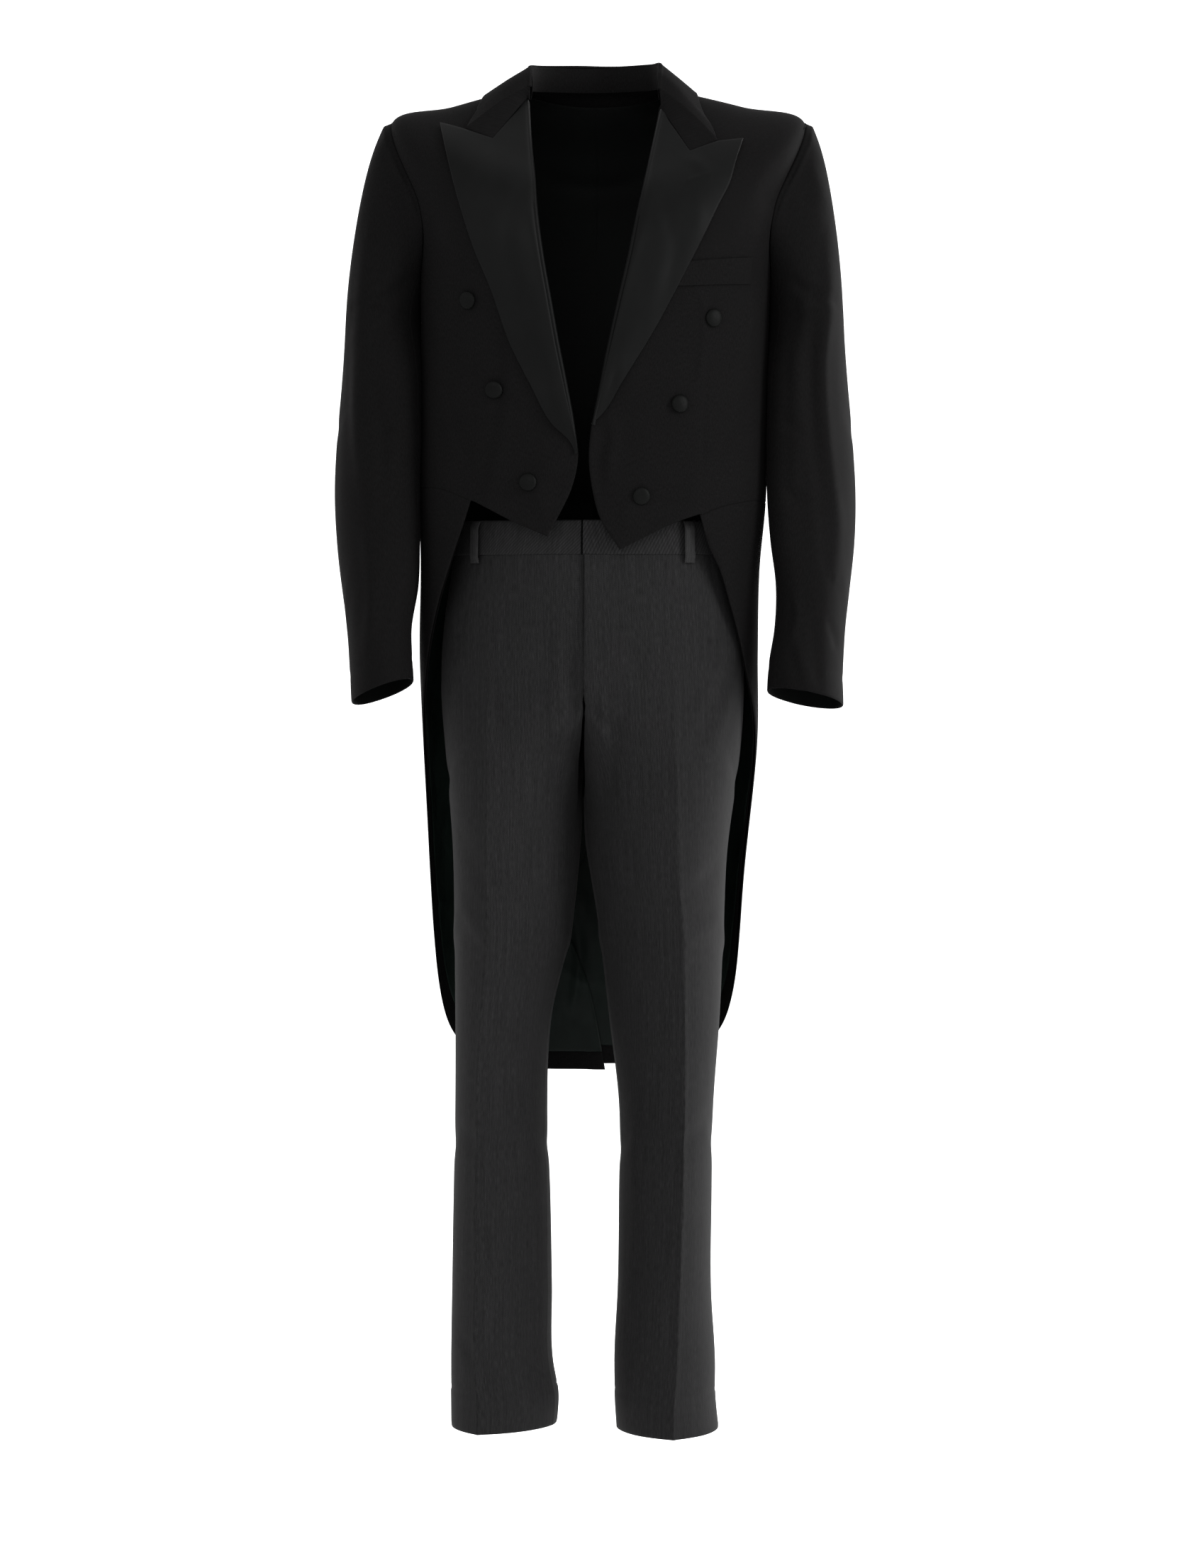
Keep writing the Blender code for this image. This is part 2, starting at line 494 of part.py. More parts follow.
def side_panel(side):
    seam_f = curve([r[0] for r in SIDE_SEAM], [r[1] for r in SIDE_SEAM])
    seam_b = curve([r[0] for r in BACK_SEAM], [r[1] for r in BACK_SEAM])
    foot_f = float(waist_level(side, SIDE_SEAM[1][1]))
    foot_b = WAIST
    turn_f, turn_b = turn_at(SIDE_SEAM[-1][1], True), turn_at(BACK_SEAM[-1][1], False)
    hit_f, hit_b = armhole(side, np.radians(turn_f)), armhole(side, np.radians(turn_b))
    start = lambda t: np.stack([seam_f(foot_f + (hit_f[1] - foot_f) * t) + (hit_f[0] - seam_f(hit_f[1])) * t, foot_f + (hit_f[1] - foot_f) * t], -1)
    end = lambda t: np.stack([seam_b(foot_b + (hit_b[1] - foot_b) * t) + (hit_b[0] - seam_b(hit_b[1])) * t, foot_b + (hit_b[1] - foot_b) * t], -1)
    low_angle = lambda u: start(np.zeros(1))[0, 0] * (1 - u) + end(np.zeros(1))[0, 0] * u
    low = lambda u: np.stack([low_angle(u), waist_level(side, low_angle(u))], -1)
    us, ws = np.linspace(0, 1, 6), BODY_ROWS
    al = patch(low, armhole_part(side, turn_f, turn_b), start, end, us, ws)
    al[:, 0] = inset(side, al[:, 0], BENT_SEAM / 2, True)
    al[:, -1] = inset(side, al[:, -1], -SEAM / 2, True)
    al[0] = inset(side, al[0], BENT_SEAM / 2, False)
    al[-1] = inset(side, al[-1], -BENT_SEAM, False)
    return coat(side, al[..., 0], al[..., 1]), al


def vent_edge(side, level):
    table = VENT[side]
    f = curve([r[0] for r in table], [r[1] for r in table])
    return np.where(level < VENT_TOP, f(level), 180.0)


def vent_step(side, degrees, level):
    """How far in the inside tail lies, near the centre back below the vent's top."""
    if side == RIGHT:
        return np.zeros(np.shape(level))
    near = np.clip((degrees - 152.5) / 6.5, 0, 1)
    down = np.clip((WAIST - level) / (WAIST - VENT_TOP - 0.03), 0, 1)
    return -VENT_STEP * (near * near * (3 - 2 * near)) * (down * down * (3 - 2 * down))


def hem_level(side, degrees):
    """The level of the tail's lower edge at an angle, past the round corner."""
    table = sorted([(a, l) for l, a in TAIL_EDGE[side][-4:]] + [(a, l) for l, a in TAIL_HEM[side][1:]])
    return curve([a for a, _ in table], [l for _, l in table])(degrees)


def back_panel(side):
    seam_b = curve([r[0] for r in BACK_SEAM], [r[1] for r in BACK_SEAM])
    seam_t = curve([r[0] for r in TAIL_SEAM], [r[1] for r in TAIL_SEAM])
    turn_b = turn_at(BACK_SEAM[-1][1], False)
    hit_b = armhole(side, np.radians(turn_b))
    rise = lambda t: np.stack([seam_b(WAIST + (hit_b[1] - WAIST) * t) + (hit_b[0] - seam_b(hit_b[1])) * t, WAIST + (hit_b[1] - WAIST) * t], -1)
    foot = float(hem_level(side, TAIL_SEAM[0][1]))
    tail = lambda t: np.stack([seam_t(foot + (WAIST - foot) * t) + (rise(np.zeros(1))[0, 0] - seam_t(WAIST)) * t**4, foot + (WAIST - foot) * t], -1)
    shoulder = lambda t: np.stack([np.full(np.shape(t), 90.0), SHOULDER + (NECK - SHOULDER) * np.asarray(t)], -1)
    outer = chain((tail, 0, 0.46), (rise, 0.46, 0.68), (armhole_part(side, turn_b, 360), 0.68, 0.86), (shoulder, 0.86, 1))
    cb_level = lambda t: outer(t)[:, 1]
    foot_cb = float(hem_level(side, float(vent_edge(side, 0.15))))

    def centre(t):
        level = np.where(t < 0.46, foot_cb + (WAIST - foot_cb) * t / 0.46, cb_level(t))
        return np.stack([vent_edge(side, level), level], -1)

    low = lambda u: np.stack([outer(np.zeros(1))[0, 0] * (1 - u) + centre(np.zeros(1))[0, 0] * u, hem_level(side, outer(np.zeros(1))[0, 0] * (1 - u) + centre(np.zeros(1))[0, 0] * u)], -1)
    high = lambda u: np.stack([90 + 90 * u, np.full(np.shape(u), NECK)], -1)
    us = np.array([0, 0.2, 0.4, 0.6, 0.8, 1])
    ws = np.concatenate([0.46 * TAIL_ROWS, 0.46 + 0.22 * BODY_ROWS[1:], np.linspace(0.68, 0.86, 7)[1:], 0.86 + 0.14 * SHOULDER_ROWS[1:]])
    al = patch(low, high, outer, centre, us, ws)
    al[:, 0] = inset(side, al[:, 0], SEAM / 2, True)
    n = len(SHOULDER_ROWS)
    al[-n:, 0, 0] = inset(side, np.stack([np.full(n, 90.0), al[-n:, 0, 1]], -1), BENT_SEAM / 2, True)[:, 0]
    closed_part = al[:, -1, 1] > VENT_TOP
    al[closed_part, -1] = inset(side, al[closed_part, -1], -SEAM / 2, True)
    al[1] = inset(side, al[0], FACING, False)
    points = coat(side, al[..., 0], np.minimum(al[..., 1], NECK), vent_step(side, al[..., 0], al[..., 1]))
    return points, al


def skirt_panel(side):
    edge = path([(a, l * 26) for l, a in TAIL_EDGE[side]])
    front = lambda t: edge(1 - t) / np.array([1, 26.0])
    seam_t = curve([r[0] for r in TAIL_SEAM], [r[1] for r in TAIL_SEAM])
    corner = TAIL_EDGE[side][-1]
    foot = float(hem_level(side, TAIL_SEAM[0][1]))
    top_b = WAIST
    start = lambda t: np.stack([seam_t(foot + (top_b - foot) * t), foot + (top_b - foot) * t], -1)
    low = lambda u: np.stack([TAIL_SEAM[0][1] * (1 - u) + corner[1] * u, hem_level(side, TAIL_SEAM[0][1] * (1 - u) + corner[1] * u)], -1)
    stop = TAIL_EDGE[side][0][1]
    high = lambda u: np.stack([152 + (stop - 152) * u, waist_level(side, 152 + (stop - 152) * u)], -1)
    us = np.concatenate([np.linspace(0, 0.9, 8), [1]])
    ws = TAIL_ROWS
    al = patch(low, high, start, front, us, ws)
    al[:, 0] = inset(side, al[:, 0], -SEAM / 2, True)
    al[-1] = inset(side, al[-1], -BENT_SEAM / 2, False)
    al[:, -2] = inset(side, al[:, -1], FACING, True)
    al[1, :-1] = inset(side, al[0, :-1], FACING, False)
    al[1, -2] = (al[1, -3] + al[2, -2]) / 2
    return coat(side, al[..., 0], al[..., 1]), al


def lining_of(side, al, vent):
    """The lining and the black band round it, made from a tail panel's own points, moved in. The band is its lowest row and its free edge."""
    top = int(np.argmin(np.abs(al[:, 0, 1] - VENT_TOP)))
    al = al[: top + 1].copy()
    deep = -(CLOTH + LINING_LAYER)
    lie = lambda g: coat(side, g[..., 0], g[..., 1], deep + vent_step(side, g[..., 0], g[..., 1]))
    lined = al[1:, : None if vent else -1].copy()
    lined[0] = inset(side, lined[0], BENT_SEAM, False)
    if not vent:
        lined[:, -1] = inset(side, lined[:, -1], BENT_SEAM, True)
    hem = al[:2]
    if vent:
        return lie(lined), lie(hem), None
    edge = al[1:, -2:].copy()
    edge[0] += (edge[1] - edge[0]) * 0.07
    return lie(lined), lie(hem), lie(edge)


def lifted(side, xz, out):
    """Points that stand off the coat's front by out and are seen from the front at x, z."""
    aim = np.array(xz, float)
    for _ in range(5):
        al = on_front(side, aim[..., 0], aim[..., 1])
        p = coat(side, al[..., 0], al[..., 1], out)
        aim = aim + np.array(xz) - p[..., ::2]
    return p


def lapel_top(side):
    """Its top edge, with the corner at the notch, as a function of the share of its length, and the notch's share."""
    points = np.array(LAPEL_TOP[side], float)
    along = np.concatenate([[0], np.cumsum(np.linalg.norm(np.diff(points, axis=0), axis=1))])
    along /= along[-1]
    return lambda t: np.stack([np.interp(t, along, points[:, k]) for k in (0, 1)], -1), along[2]


def lapel_rise(u, w):
    """How far a lapel stands off the front, across from the roll line to the free edge and up from the foot."""
    return LAPEL_LIE + LAPEL_RISE * np.sin(math.pi * u**0.6) * np.clip(4 * w, 0.2, 1) * (1 - 0.75 * w**4)


def lapel(side):
    edge, roll = path(LAPEL_EDGE[side]), path(FRONT_EDGE[side])
    top, notch = lapel_top(side)
    ts = np.linspace(0, 1, 400)
    line = roll(ts)
    foot, head = LAPEL_FOOT[side], LAPEL_TOP[side][0]
    t0 = float(np.interp(foot[1], line[:, 1], ts))
    inner = lambda t: roll(t0 + (1 - t0) * np.asarray(t)) + (np.array(head) - line[-1]) * np.asarray(t)[:, None] ** 4
    start = inner(np.zeros(1))[0]
    width = 3.0
    low = lambda u: start * (1 - np.asarray(u))[:, None] + edge(np.zeros(1)) * np.asarray(u)[:, None] + np.array([side * width, 0]) * np.asarray(u)[:, None]
    outer = lambda t: edge(t) + np.array([side * width, 0]) * (1 - np.asarray(t))[:, None] ** 3
    us, ws = np.concatenate([np.linspace(0, notch, 4), np.linspace(notch, 1, 4)[1:]]), np.linspace(0.0, 1, 12)
    xz = patch(low, top, inner, outer, us, ws)
    return lifted(side, xz, lapel_rise(us[None], ws[:, None]))


def welt():
    us, ws = np.linspace(0, 1, 7), np.linspace(0, 1, 3)
    u, w = us[None, :, None], ws[:, None, None]
    a, b, c, d = (np.array(WELT[k]) for k in ("low in", "low out", "top in", "top out"))
    xz = (1 - w) * ((1 - u) * a + u * b) + w * ((1 - u) * c + u * d)
    al = on_front(RIGHT, xz[..., 0], xz[..., 1])
    return coat(RIGHT, al[..., 0], al[..., 1], LAYER + WELT_THICK + 0.2)


def collar():
    """The fall, from the fold down to the free edge, and the stand inside it."""
    fold = [curve([r[0] for r in COLLAR], [r[k] for r in COLLAR]) for k in (1, 2, 3)]
    angle, level = [curve([r[0] for r in COLLAR], [r[k] for r in COLLAR]) for k in (4, 5)]
    us = np.array([0, 0.06, 0.35, 0.7, 1.0])
    half = [0, COLLAR[0][0], 0.085, 0.12, 0.16, 0.2]
    ts = np.concatenate([half, np.linspace(0.2, 0.8, 13)[1:], 1 - np.array(half[-2::-1])])
    top = np.stack([f(ts) for f in fold], -1)
    low = np.where((ts <= 0.5)[:, None], coat(LEFT, angle(ts), level(ts), COLLAR_LIE), coat(RIGHT, 360 - angle(ts), level(ts), COLLAR_LIE))
    for side, tip in ((LEFT, 1), (RIGHT, -2)):
        low[tip] = lifted(side, np.array([COLLAR_TIP[side]]), COLLAR_LIE + 1)[0]
    out = low - top
    out[:, 2] = 0
    out /= np.linalg.norm(out, axis=1, keepdims=True)
    away = np.abs(ts - 0.5) * 2
    puff = curve([0, 0.3, 0.5, 0.7, 1.0], COLLAR_PUFF)(away)[None] * np.array([0, 0.3, 1.0, 0.7, 0])[:, None]
    fall = top[None] + (low - top)[None] * us[:, None, None] + out[None] * puff[..., None] * 0.5
    fall[..., 2] += puff * 0.6
    for side, end in ((LEFT, 0), (RIGHT, -1)):
        seam, notch = lapel_top(side)
        line = seam(us * notch)
        along = line[-1] - line[0]
        across = np.array([-along[1], along[0]]) / np.linalg.norm(along) * side
        fall[:, end] = lifted(side, line + across * GORGE_GAP, lapel_rise(us * notch, np.ones(len(us))))
    keep = slice(3, -3)
    inward = -out[keep]
    stand = []
    for drop, off in ((3.5, COLLAR_GAP * 0.4), (12, COLLAR_GAP * 0.9), (COLLAR_STAND, COLLAR_GAP * 0.5)):
        p = top[keep] + inward * off
        p[:, 2] -= drop
        stand.append(p)
    return fall, np.stack(stand, 0)


# ---------------------------------------------------------------- the trousers' form
H_HALF, H_FRONT, H_BACK, H_Y0, H_SQ = [curve([-r[0] for r in HIP_RINGS], [r[k] for r in HIP_RINGS]) for k in range(1, 6)]
SLEEVE_NEAR, SLEEVE_LEAN = [curve([-r[0] for r in SLEEVE_SIDE], [r[k] for r in SLEEVE_SIDE]) for k in (1, 2)]
LEG = {side: [curve([r[0] for r in LEGS[side]], [r[k] for r in LEGS[side]]) for k in range(1, 6)] for side in (LEFT, RIGHT)}
SLEEVE = {side: [curve([-r[0] for r in SLEEVE_FORM[side]], [r[k] for r in SLEEVE_FORM[side]]) for k in range(1, 7)] for side in (LEFT, RIGHT)}


def turned(p, by=TURN):
    a = math.radians(by)
    x, y = p[..., 0], p[..., 1]
    return np.stack([x * math.cos(a) - y * math.sin(a) + TROUSER_X, x * math.sin(a) + y * math.cos(a), p[..., 2]], -1)


def hip_ring(side, z, turn):
    """The waist and hips. turn is 0 at the centre front and a half turn at the centre back."""
    h = -np.asarray(z, float)
    n = H_SQ(h)
    s, c = np.sin(turn), np.cos(turn)
    r = (np.abs(s) ** n + np.abs(c) ** n) ** (-1 / n)
    deep = np.where(c > 0, H_FRONT(h), H_BACK(h))
    return turned(np.stack([side * H_HALF(h) * r * s, H_Y0(h) - deep * r * c, np.broadcast_to(-h, np.shape(s))], -1))


def leg_ring(side, z, turn, crease=1.0):
    """A trouser leg. turn runs from minus a half turn, at the inner seam, over the back, the outer seam at a quarter and the front to the inner seam. Here 0 is the front, a quarter the outside."""
    out_x, in_x, y0, deep, rho = [f(z) for f in LEG[side]]
    rho = np.radians(rho)
    extent = np.abs(out_x - in_x) / 2
    half = np.sqrt(np.maximum(extent**2 - (deep * np.sin(rho)) ** 2, 400)) / np.cos(rho)
    s, c = np.sin(turn), np.cos(turn)
    n = 2.0
    r = (np.abs(s) ** n + np.abs(c) ** n) ** (-1 / n)
    lx, ly = side * half * r * s, -deep * r * c
    off = np.minimum(np.abs(turn), np.abs(math.pi - np.abs(turn)))
    ridge = CREASE_HIGH * crease * np.clip(1 - off / 0.55, 0, 1) ** 1.6
    ly = ly - np.sign(c) * ridge
    x = (out_x + in_x) / 2 + lx * np.cos(rho) - ly * np.sin(rho)
    y = y0 + lx * np.sin(rho) + ly * np.cos(rho)
    return np.stack([x, y, np.broadcast_to(z, np.shape(s))], -1)


def leg_panel(side, front, rows_leg, rows_fork, rows_hip, cols):
    """Half a leg, from the outer seam to the inner seam and the centre line."""
    turns = np.linspace(90, 0 - 90, cols) if front else np.linspace(90, 270, cols)
    turns = np.radians(turns)
    gap = SEAM / 2
    rows = []
    low = LEGS[side][0][0]
    for z in np.linspace(low, FORK_Z, rows_leg):
        rows.append(leg_ring(side, np.full(cols, z), turns, min(1, (FORK_Z + 60 - z) / 200)))
    z1 = FLY_LOW_Z if front else SEAT_LOW_Z
    q = np.clip((1 + np.sin(turns)) / 2, 1e-4, 0.99999)
    square = H_SQ(-z1)
    ring_turn = np.arctan2(1.0, (q ** (-square) - 1) ** (1 / square))
    ring_turn = ring_turn if front else math.pi - ring_turn
    hip = hip_ring(side, np.full(cols, z1), ring_turn)
    leg = rows[-1]
    for tau in rows_fork:
        sy, sz, sx = math.sin(tau * math.pi / 2), 1 - math.cos(tau * math.pi / 2), tau * tau * (3 - 2 * tau)
        w = np.array([sx, sy * 0.5 + sx * 0.5, sz])
        rows.append(leg * (1 - w) + hip * w)
    for z in np.linspace(z1, BAND_LOW, rows_hip)[1:]:
        rows.append(hip_ring(side, np.full(cols, z), ring_turn))
    points = np.stack(rows, 0)
    # the two edges are moved in, so that sewn pieces stay apart
    for col, nxt in ((0, 1), (-1, -2)):
        d = points[:, nxt] - points[:, col]
        points[:, col] += d / np.linalg.norm(d, axis=1, keepdims=True) * gap
    points[..., 0][:, -1] = np.where(np.arange(len(rows)) >= rows_leg - 1, points[..., 0][:, -1] + side * 0.25, points[..., 0][:, -1])
    points[-1, :, 2] -= gap
    return points, rows_leg


def leg_axis(side, points):
    z = np.minimum(points[..., 2], FORK_Z)
    out_x, in_x = LEG[side][0](z), LEG[side][1](z)
    high = points[..., 2] > FORK_Z
    x = np.where(high, TROUSER_X + side * 40, (out_x + in_x) / 2)
    return np.stack([x, np.full(x.shape, 3.0), points[..., 2]], -1)


def waistband():
    turns = np.radians(np.linspace(-0.8, 358.6, 41) % 360)
    rows = []
    for z in np.linspace(BAND_LOW + SEAM / 2, WAIST_Z, 3):
        a = np.where(turns <= math.pi, turns, 2 * math.pi - turns)
        right = hip_ring(RIGHT, np.full(a.shape, z), a)
        left = hip_ring(LEFT, np.full(a.shape, z), a)
        rows.append(np.where((turns <= math.pi)[:, None], right, left))
    return np.stack(rows, 0)


def loop_points(side, degrees):
    """A belt loop, as a strap that stands off the band and is sewn at both ends."""
    across = np.linspace(-LOOP_WIDE / 2, LOOP_WIDE / 2, 3)
    rows = []
    for z, off in ((BAND_LOW - LOOP_OVER, 0.5), (BAND_LOW - LOOP_OVER + 3, 2.2), (BAND_LOW + 6, 3.6), ((BAND_LOW + WAIST_Z) / 2, 4.0), (WAIST_Z - 6, 3.4), (WAIST_Z - 1.5, 0.5)):
        radius = 128.0
        a = np.radians(degrees) + across / radius
        p = hip_ring(side, np.full(a.shape, z), a)
        e = 1e-3
        d = hip_ring(side, np.full(a.shape, z), a + e) - hip_ring(side, np.full(a.shape, z), a - e)
        n = np.stack([d[..., 1], -d[..., 0], np.zeros(a.shape)], -1)
        n /= np.linalg.norm(n, axis=-1, keepdims=True)
        n *= np.sign((n * (p - np.array([TROUSER_X, 0, z]))).sum(-1, keepdims=True))
        rows.append(p + n * (off + LOOP_THICK))
    return np.stack(rows, 0)


# ---------------------------------------------------------------- build
clear()
TUXEDO = bpy.data.collections.new("tuxedo")
bpy.context.scene.collection.children.link(TUXEDO)
WEARER = bpy.data.objects.new("wearer", None)
TUXEDO.objects.link(WEARER)

WOOL = material("black wool", (0.010, 0.009, 0.010), 0.86, 0.25)
SATIN = material("black satin", (0.008, 0.009, 0.0085), 0.42)
LINED = material("dark green-black lining", (0.010, 0.015, 0.013), 0.4)
GREY = material("charcoal herringbone", (0.028, 0.028, 0.029), 0.82, 0.2)

NAMES = {LEFT: "left", RIGHT: "right"}
for side in (LEFT, RIGHT):
    tag = NAMES[side]
    p, _ = front_panel(side)
    sheet(f"coat_front_{tag}", p, WOOL, CLOTH, spine(p))
    p, _ = side_panel(side)
    sheet(f"coat_side_body_{tag}", p, WOOL, CLOTH, spine(p))
    for piece, panel in (("back", back_panel), ("skirt", skirt_panel)):
        p, al = panel(side)
        sheet(f"coat_{piece}_{tag}", p, WOOL, CLOTH, spine(p))
        lining, hem, edge = lining_of(side, al, piece == "back")
        sheet(f"{piece}_lining_{tag}", lining, LINED, LINING, spine(lining))
        sheet(f"{piece}_hem_facing_{tag}", hem, WOOL, LINING, spine(hem))
        if edge is not None:
            sheet(f"{piece}_edge_facing_{tag}", edge, WOOL, LINING, spine(edge))
    sheet(f"lapel_{tag}", lapel(side), SATIN, 1.5, spine(lapel(side)))
    shares = np.concatenate([np.linspace(0.0125, SLEEVE_SPLIT, 7), np.linspace(SLEEVE_SPLIT, 1, 8)[1:]])
    back_seam = curve([r[0] for r in SLEEVE_BACK_SEAM], [r[1] for r in SLEEVE_BACK_SEAM])
    for piece, n in (("top", 11), ("under", 8)):
        rows = []
        for share in shares:
            a, b = (back_seam(share), SLEEVE_FRONT_SEAM) if piece == "top" else (SLEEVE_FRONT_SEAM, back_seam(share) + 360)
            rows.append(np.linspace(a, b, n))
        turns = np.radians(np.array(rows))
        p = sleeve_at(side, shares[:, None], turns)
        for col, nxt in ((0, 1), (-1, -2)):
            d = p[:, nxt] - p[:, col]
            p[:, col] += d / np.linalg.norm(d, axis=1, keepdims=True) * BENT_SEAM / 2
        sheet(f"{piece}_sleeve_{tag}", p, WOOL, CLOTH, sleeve_axis(side, p))
    for i, (x, z) in enumerate(FRONT_BUTTONS[side]):
        al = on_front(side, x, z)
        at, over = coat(side, al[0], al[1]), coat(side, al[0], al[1], 1.0)
        button(f"front_button_{tag}_{i + 1}", at, over - at, BUTTON_RADIUS, BUTTON_HIGH, SATIN)
    for i, share in enumerate(CUFF_BUTTONS):
        turn = math.radians(float(back_seam(share)) + 6)
        at = sleeve_at(side, share, turn)
        da = sleeve_at(side, share, turn + 0.01) - sleeve_at(side, share, turn - 0.01)
        dl = sleeve_at(side, share + 0.004, turn) - sleeve_at(side, share - 0.004, turn)
        out = np.cross(da, dl)
        out *= np.sign((out * (at - sleeve_axis(side, at[None])[0])).sum())
        button(f"cuff_button_{tag}_{i + 1}", at, out, CUFF_RADIUS, CUFF_HIGH, SATIN, 1.5)
    at, over = coat(side, BACK_BUTTON[1], BACK_BUTTON[0]), coat(side, BACK_BUTTON[1], BACK_BUTTON[0], 1.0)
    button(f"back_button_{tag}", at, over - at, BUTTON_RADIUS, BUTTON_HIGH, SATIN, 0.9)
    p, _ = leg_panel(side, True, 10, (0.3, 0.6, 0.8, 1.0), 4, 9)
    sheet(f"trouser_front_{tag}", p, GREY, TROUSER, leg_axis(side, p))
    p, _ = leg_panel(side, False, 10, (0.3, 0.6, 0.8, 1.0), 4, 9)
    sheet(f"trouser_back_{tag}", p, GREY, TROUSER, leg_axis(side, p))

sheet("breast_pocket_welt", welt(), WOOL, WELT_THICK, spine(welt()))
fall, stand = collar()
sheet("collar", fall, WOOL, COLLAR_WALL, spine(fall))
sheet("collar_stand", stand, WOOL, COLLAR_WALL, spine(stand))
band = waistband()
sheet("waistband", band, GREY, 2.2, spine(band, TROUSER_X))
for i, (side, degrees) in enumerate(BELT_LOOPS):
    p = loop_points(side, degrees)
    sheet(f"belt_loop_{i + 1}", p, GREY, LOOP_THICK, spine(p, TROUSER_X))
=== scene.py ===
"""The looks of an evening tailcoat and its trousers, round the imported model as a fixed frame.

Each cloth piece is a thin shell on its solid's own form, worked out from the same tables with finer rows and columns, with its folds, seams and edges as soft troughs and ridges.
Metres in the scene, millimetres in the tables. "left" and "right" are the viewer's."""

import json
import math

import bpy
import numpy as np
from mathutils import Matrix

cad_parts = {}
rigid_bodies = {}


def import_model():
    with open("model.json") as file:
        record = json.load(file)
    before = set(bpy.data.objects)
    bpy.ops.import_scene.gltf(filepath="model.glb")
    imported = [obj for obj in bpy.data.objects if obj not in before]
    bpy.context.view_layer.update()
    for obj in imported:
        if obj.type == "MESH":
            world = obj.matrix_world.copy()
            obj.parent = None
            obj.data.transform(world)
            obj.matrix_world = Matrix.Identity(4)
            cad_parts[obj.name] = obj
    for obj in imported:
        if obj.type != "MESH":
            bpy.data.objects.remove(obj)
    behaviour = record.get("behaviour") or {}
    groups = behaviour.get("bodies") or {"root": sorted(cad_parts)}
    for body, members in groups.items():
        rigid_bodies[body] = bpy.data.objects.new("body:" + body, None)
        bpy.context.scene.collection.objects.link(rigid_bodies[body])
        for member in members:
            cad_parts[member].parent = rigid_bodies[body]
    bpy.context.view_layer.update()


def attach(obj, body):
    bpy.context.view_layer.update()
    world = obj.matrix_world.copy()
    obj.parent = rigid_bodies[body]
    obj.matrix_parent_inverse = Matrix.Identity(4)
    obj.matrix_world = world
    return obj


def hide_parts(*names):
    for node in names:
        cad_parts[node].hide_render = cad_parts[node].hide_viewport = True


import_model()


MM = 0.001
CLOTH = 1.6  # wool, with its interlining where it has one
LINING = 1.0
TROUSER = 1.4
SEAM = 0.1  # between the edges of two sewn pieces on the outside; less on the inside
BENT_SEAM = 0.1  # the same where the cloth turns sharply at the seam
LAYER = 0.4  # between two layers that lie on each other
LINING_LAYER = 1.2  # the same between a tail and its lining, which hangs free
RIGHT, LEFT = 1, -1  # the viewer's

# ---------------------------------------------------------------- the coat's form
COAT_FORM = [
    # level  name            half front back  y0   x0  z side z front z back square
    (0.0, "tail end",         164, 100, 112,  40,  -9, -1090, -1090, -1090, 2.4),
    (1.0, "tail low",         170, 104, 116,  36, -10,  -950,  -950,  -950, 2.4),
    (2.0, "tail middle",      175, 108, 122,  28, -10,  -840,  -840,  -840, 2.35),
    (3.0, "thigh",            184, 114, 133,  16,  -6,  -700,  -700,  -700, 2.35),
    (4.0, "seat",             186, 120, 140,   6,  -7.5,  -600,  -600,  -600, 2.35),
    (5.0, "hip",              186, 122, 135,   2,  -6,  -510,  -510,  -510, 2.35),
    (6.0, "waist seam",       190, 121, 119,   0,  -3,  -428,  -428,  -428, 2.4),
    (7.0, "ribs",             190, 127, 112,   0,  -1.5,  -330,  -330,  -330, 2.45),
    (8.0, "chest",            190.5, 134, 121,   0,  -0.5,  -240,  -240,  -240, 2.55),
    (9.0, "armpit",           193, 136, 127,   0,   0.5,  -178,  -192,  -180, 2.7),
    (10.0, "middle armhole",  203, 133, 128,   0,   2,  -105,  -152,  -130, 2.8),
    (11.0, "shoulder end",    226, 121, 121,   2,   3,   -20,  -112,   -84, 2.5),
    (12.0, "middle shoulder", 158,  98, 108,   3,   2,    -1,   -82,   -40, 2.35),
    (13.0, "neck",             84,  64,  76,   5,   0,    18,   -42,     7, 2.2),
]
WAIST, ARMPIT, SHOULDER, NECK = 6.0, 9.0, 11.0, 13.0

# The armhole on that form, as angle from the centre front and level.
ARMHOLE_ANGLE, ARMHOLE_WIDE_FRONT, ARMHOLE_WIDE_BACK = 90, 27, 27
ARMHOLE_LOW, ARMHOLE_HIGH = 8.72, 11.0

# Seams that run up the body: level, angle.
SIDE_SEAM = [(5.0, 86), (6.0, 86), (8.0, 84), (9.3, 76)]
BACK_SEAM = [(6.0, 152), (6.6, 149), (7.6, 140), (8.6, 128), (9.5, 112)]
TAIL_SEAM = [(0.0, 150), (2.0, 150), (4.0, 151), (6.0, 152)]

# The front's free edge and roll line, seen from the front: x, z, from the point of the cut-away up to the neck.
FRONT_EDGE = {
    LEFT: [(-52, -473), (-38, -447), (-27, -424), (-19, -387), (-22, -356), (-30, -311), (-39, -265), (-47, -220), (-55, -174), (-61, -128), (-63.5, -92), (-67.5, -46), (-70, 2)],
    RIGHT: [(26, -487), (4, -451), (-3, -424), (-7, -390), (-4.5, -356), (4, -311), (13, -265), (23, -220), (33.5, -174), (42.5, -128), (50, -92), (58.5, -46), (66, -4)],
}
# Its lower edge and the waist seam, from that point to the side seam: x, z.
FRONT_LOW = {
    LEFT: [(-52, -473), (-91, -456), (-117, -442), (-131, -434), (-152, -424), (-184, -419)],
    RIGHT: [(26, -487), (50, -475), (74, -463), (102, -452), (121, -446), (157, -436), (184, -435)],
}
